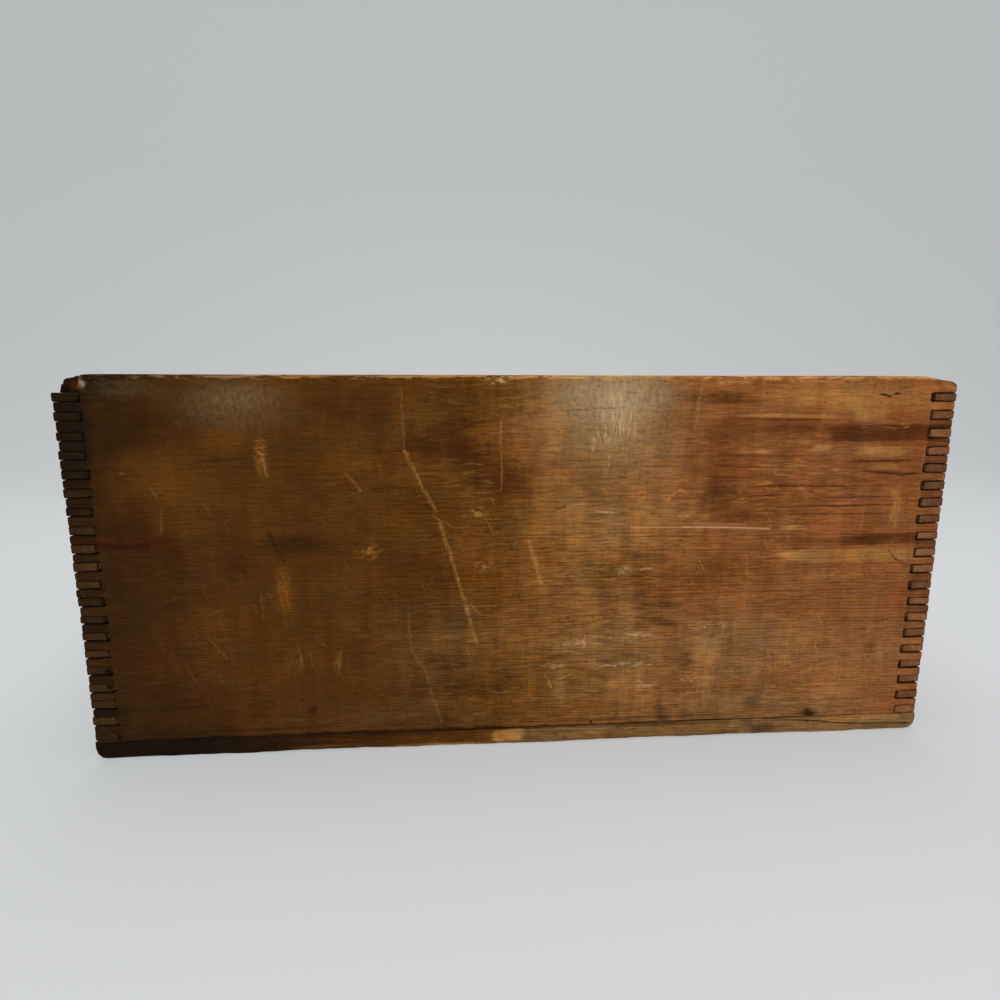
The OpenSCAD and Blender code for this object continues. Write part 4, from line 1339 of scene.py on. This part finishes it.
class BOX_OT_lid(bpy.types.Operator):
    """Makes the two lid boards"""

    bl_idname = "coffee_box.lid"
    bl_label = "Lid boards"

    def execute(self, context):
        wear = context.scene.box_wear
        for name, seed, side in (("lid_front_board", 27, -1), ("lid_rear_board", 28, 1)):
            wood = plain_wood(
                title(name, "varnish"), (X, Z, Y), (0, 0.26, side * 0.08), (Z, 1),
                ("walnut", "hazel", "honey"), seed * APART
            )
            worn_board(
                name, name + "_wood", X, Z, wood, seed,
                ((Y, side, Z, 1, wear.arris), (Y, -side, Z, 1, 0.5 * wear.arris))
            )
        return {"FINISHED"}


class BOX_OT_strips(bpy.types.Operator):
    """Makes the battens under the lid and the rests that it lies on"""

    bl_idname = "coffee_box.strips"
    bl_label = "Battens and rests"

    def execute(self, context):
        for name, seed in (("lid_batten_left", 29), ("lid_batten_right", 30)):
            wood = plain_wood(
                title(name, "wood"), (Y, Z, X), (0, 0.12, 0.03), (Z, 1),
                ("chestnut", "honey", "amber"), seed * APART
            )
            worn_board(name, name + "_wood", Y, Z, wood, seed, ())
        for name, seed, side in (("lid_rest_left", 31, -1), ("lid_rest_right", 32, 1)):
            wood = plain_wood(
                title(name, "wood"), (Y, X, Z), (0, 0.12, 0.23), (X, side),
                ("chestnut", "honey", "amber"), seed * APART
            )
            worn_board(name, name + "_wood", Y, X, wood, seed, ())
        return {"FINISHED"}


class BOX_OT_ironwork(bpy.types.Operator):
    """Finishes the hinges, pins, screws and nails"""

    bl_idname = "coffee_box.ironwork"
    bl_label = "Ironwork"

    def execute(self, context):
        bevel = context.scene.box_wear.iron_bevel
        hinge = iron("Hinge iron", 0.85)
        dress_iron([n for n in frame["nodes"] if n.startswith("hinge_")], hinge, bevel)
        dress_iron(("box_leaf_screws", "lid_leaf_screws"), iron("Screw iron", 0.8), bevel)
        dress_iron(("bottom_nails", "rest_nails", "batten_nails"), iron("Nail iron", 0.6), bevel)
        return {"FINISHED"}


class BOX_OT_stage(bpy.types.Operator):
    """Sets the pale floor and backdrop, the lights and the camera"""

    bl_idname = "coffee_box.stage"
    bl_label = "Stage"

    def execute(self, context):
        scene = context.scene
        settings = scene.box_stage
        scene.view_settings.view_transform = "Standard"
        make_floor(settings)
        make_lights(scene, settings)
        make_camera(scene, settings)
        return {"FINISHED"}


def seen_ray(net):
    """1 for rays that show a surface, 0 for rays that only carry its light."""
    path = net.add("LightPath")
    seen = net.math("MAXIMUM", path.outputs["Is Camera Ray"], path.outputs["Is Glossy Ray"])
    return net.math("MAXIMUM", seen, path.outputs["Is Transmission Ray"])


def make_floor(settings):
    """A floor that curves up into a backdrop. The camera sees it paler than it lights the box, with
    the box's shadow."""
    half, front, back, bend, top, under = 4.0, -4.0, 0.9, 1.6, 4.0, -0.0003
    profile = [(front, under)]
    profile += [
        (back + bend * math.sin(a), under + bend - bend * math.cos(a))
        for a in np.linspace(0, math.pi / 2, 17)
    ]
    profile.append((back + bend, top))
    bm = bmesh.new()
    rows = [[bm.verts.new((side * half, y, z)) for side in (-1, 1)] for y, z in profile]
    for a, b in zip(rows, rows[1:]):
        bm.faces.new((a[0], a[1], b[1], b[0]))
    mesh = bpy.data.meshes.new("stage_floor")
    bm.to_mesh(mesh)
    bm.free()
    mesh.polygons.foreach_set("use_smooth", np.ones(len(mesh.polygons), bool))
    floor = bpy.data.objects.new("stage_floor", mesh)
    bpy.context.scene.collection.objects.link(floor)
    material, net = clear_material("Stage floor")
    shader = net.add("BsdfPrincipled")
    shader.inputs["Base Color"].default_value = (*settings.floor, 1)
    shader.inputs["Roughness"].default_value = 0.9
    shader.inputs["Specular IOR Level"].default_value = 0.1
    glow = net.add("Emission")
    glow.inputs["Color"].default_value = (*settings.glow, 1)
    mix = net.add("MixShader", net.times(seen_ray(net), 0.5), shader.outputs[0], glow.outputs[0])
    out = net.add("OutputMaterial")
    net.tree.links.new(mix.outputs[0], out.inputs[0])
    mesh.materials.append(material)


def make_lights(scene, settings):
    """A large soft light above, another in front, and a pale surrounding."""
    for name, place, target, size, power in (
        ("Top light", (0.0, 0.25, 1.6), (0, 0, 0.1), 1.6, settings.top_power),
        ("Front light", (0.5, -1.7, 0.9), (0, 0, 0.1), 1.3, settings.front_power),
    ):
        lamp = bpy.data.lights.new(name, "AREA")
        lamp.shape = "DISK"
        lamp.size = size
        lamp.energy = power
        light = bpy.data.objects.new(name, lamp)
        light.location = place
        light.visible_camera = False
        light.rotation_euler = (Vector(target) - Vector(place)).to_track_quat("-Z", "Y").to_euler()
        scene.collection.objects.link(light)
    world = bpy.data.worlds.new("Pale surroundings")
    world.use_nodes = True
    world.node_tree.nodes.clear()
    net = Net(world.node_tree)
    light = net.add("Background", (1, 1, 1), settings.world)
    look = net.add("Background", tuple(settings.glow), 1.0)
    mix = net.add("MixShader", seen_ray(net), light.outputs[0], look.outputs[0])
    out = net.add("OutputWorld")
    net.tree.links.new(mix.outputs[0], out.inputs[0])
    scene.world = world


def make_camera(scene, settings):
    """The camera, placed as the photo's was."""
    data = bpy.data.cameras.new("Camera")
    data.sensor_width = 36
    data.lens = settings.focal
    data.clip_start = 0.01
    camera = bpy.data.objects.new("Camera", data)
    camera.location = settings.eye
    camera.rotation_euler = (math.pi / 2 - settings.down, 0, -settings.aside)
    scene.collection.objects.link(camera)
    scene.camera = camera


class BOX_PT_panel(bpy.types.Panel):
    """Lists the pieces of the box"""

    bl_idname = "BOX_PT_panel"
    bl_label = "Coffee box"
    bl_space_type = "VIEW_3D"
    bl_region_type = "UI"
    bl_category = "Coffee box"

    def draw(self, context):
        for operator in OPERATORS:
            self.layout.operator(operator.bl_idname)


SETTINGS = {
    "box_wood": WoodSettings, "box_wear": WearSettings, "box_iron": IronSettings, "box_stage": StageSettings
}
OPERATORS = (
    BOX_OT_front_wall, BOX_OT_back_wall, BOX_OT_end_walls, BOX_OT_bottom, BOX_OT_lid, BOX_OT_strips,
    BOX_OT_ironwork, BOX_OT_stage
)
CLASSES = (*SETTINGS.values(), *OPERATORS, BOX_PT_panel)


def register():
    for cls in CLASSES:
        bpy.utils.register_class(cls)
    for key, cls in SETTINGS.items():
        setattr(bpy.types.Scene, key, PointerProperty(type=cls))


def unregister():
    for key in SETTINGS:
        delattr(bpy.types.Scene, key)
    for cls in reversed(CLASSES):
        bpy.utils.unregister_class(cls)


def main():
    register()
    for operator in OPERATORS:
        module, name = operator.bl_idname.split(".")
        getattr(getattr(bpy.ops, module), name)()


if __name__ == "__main__":
    main()
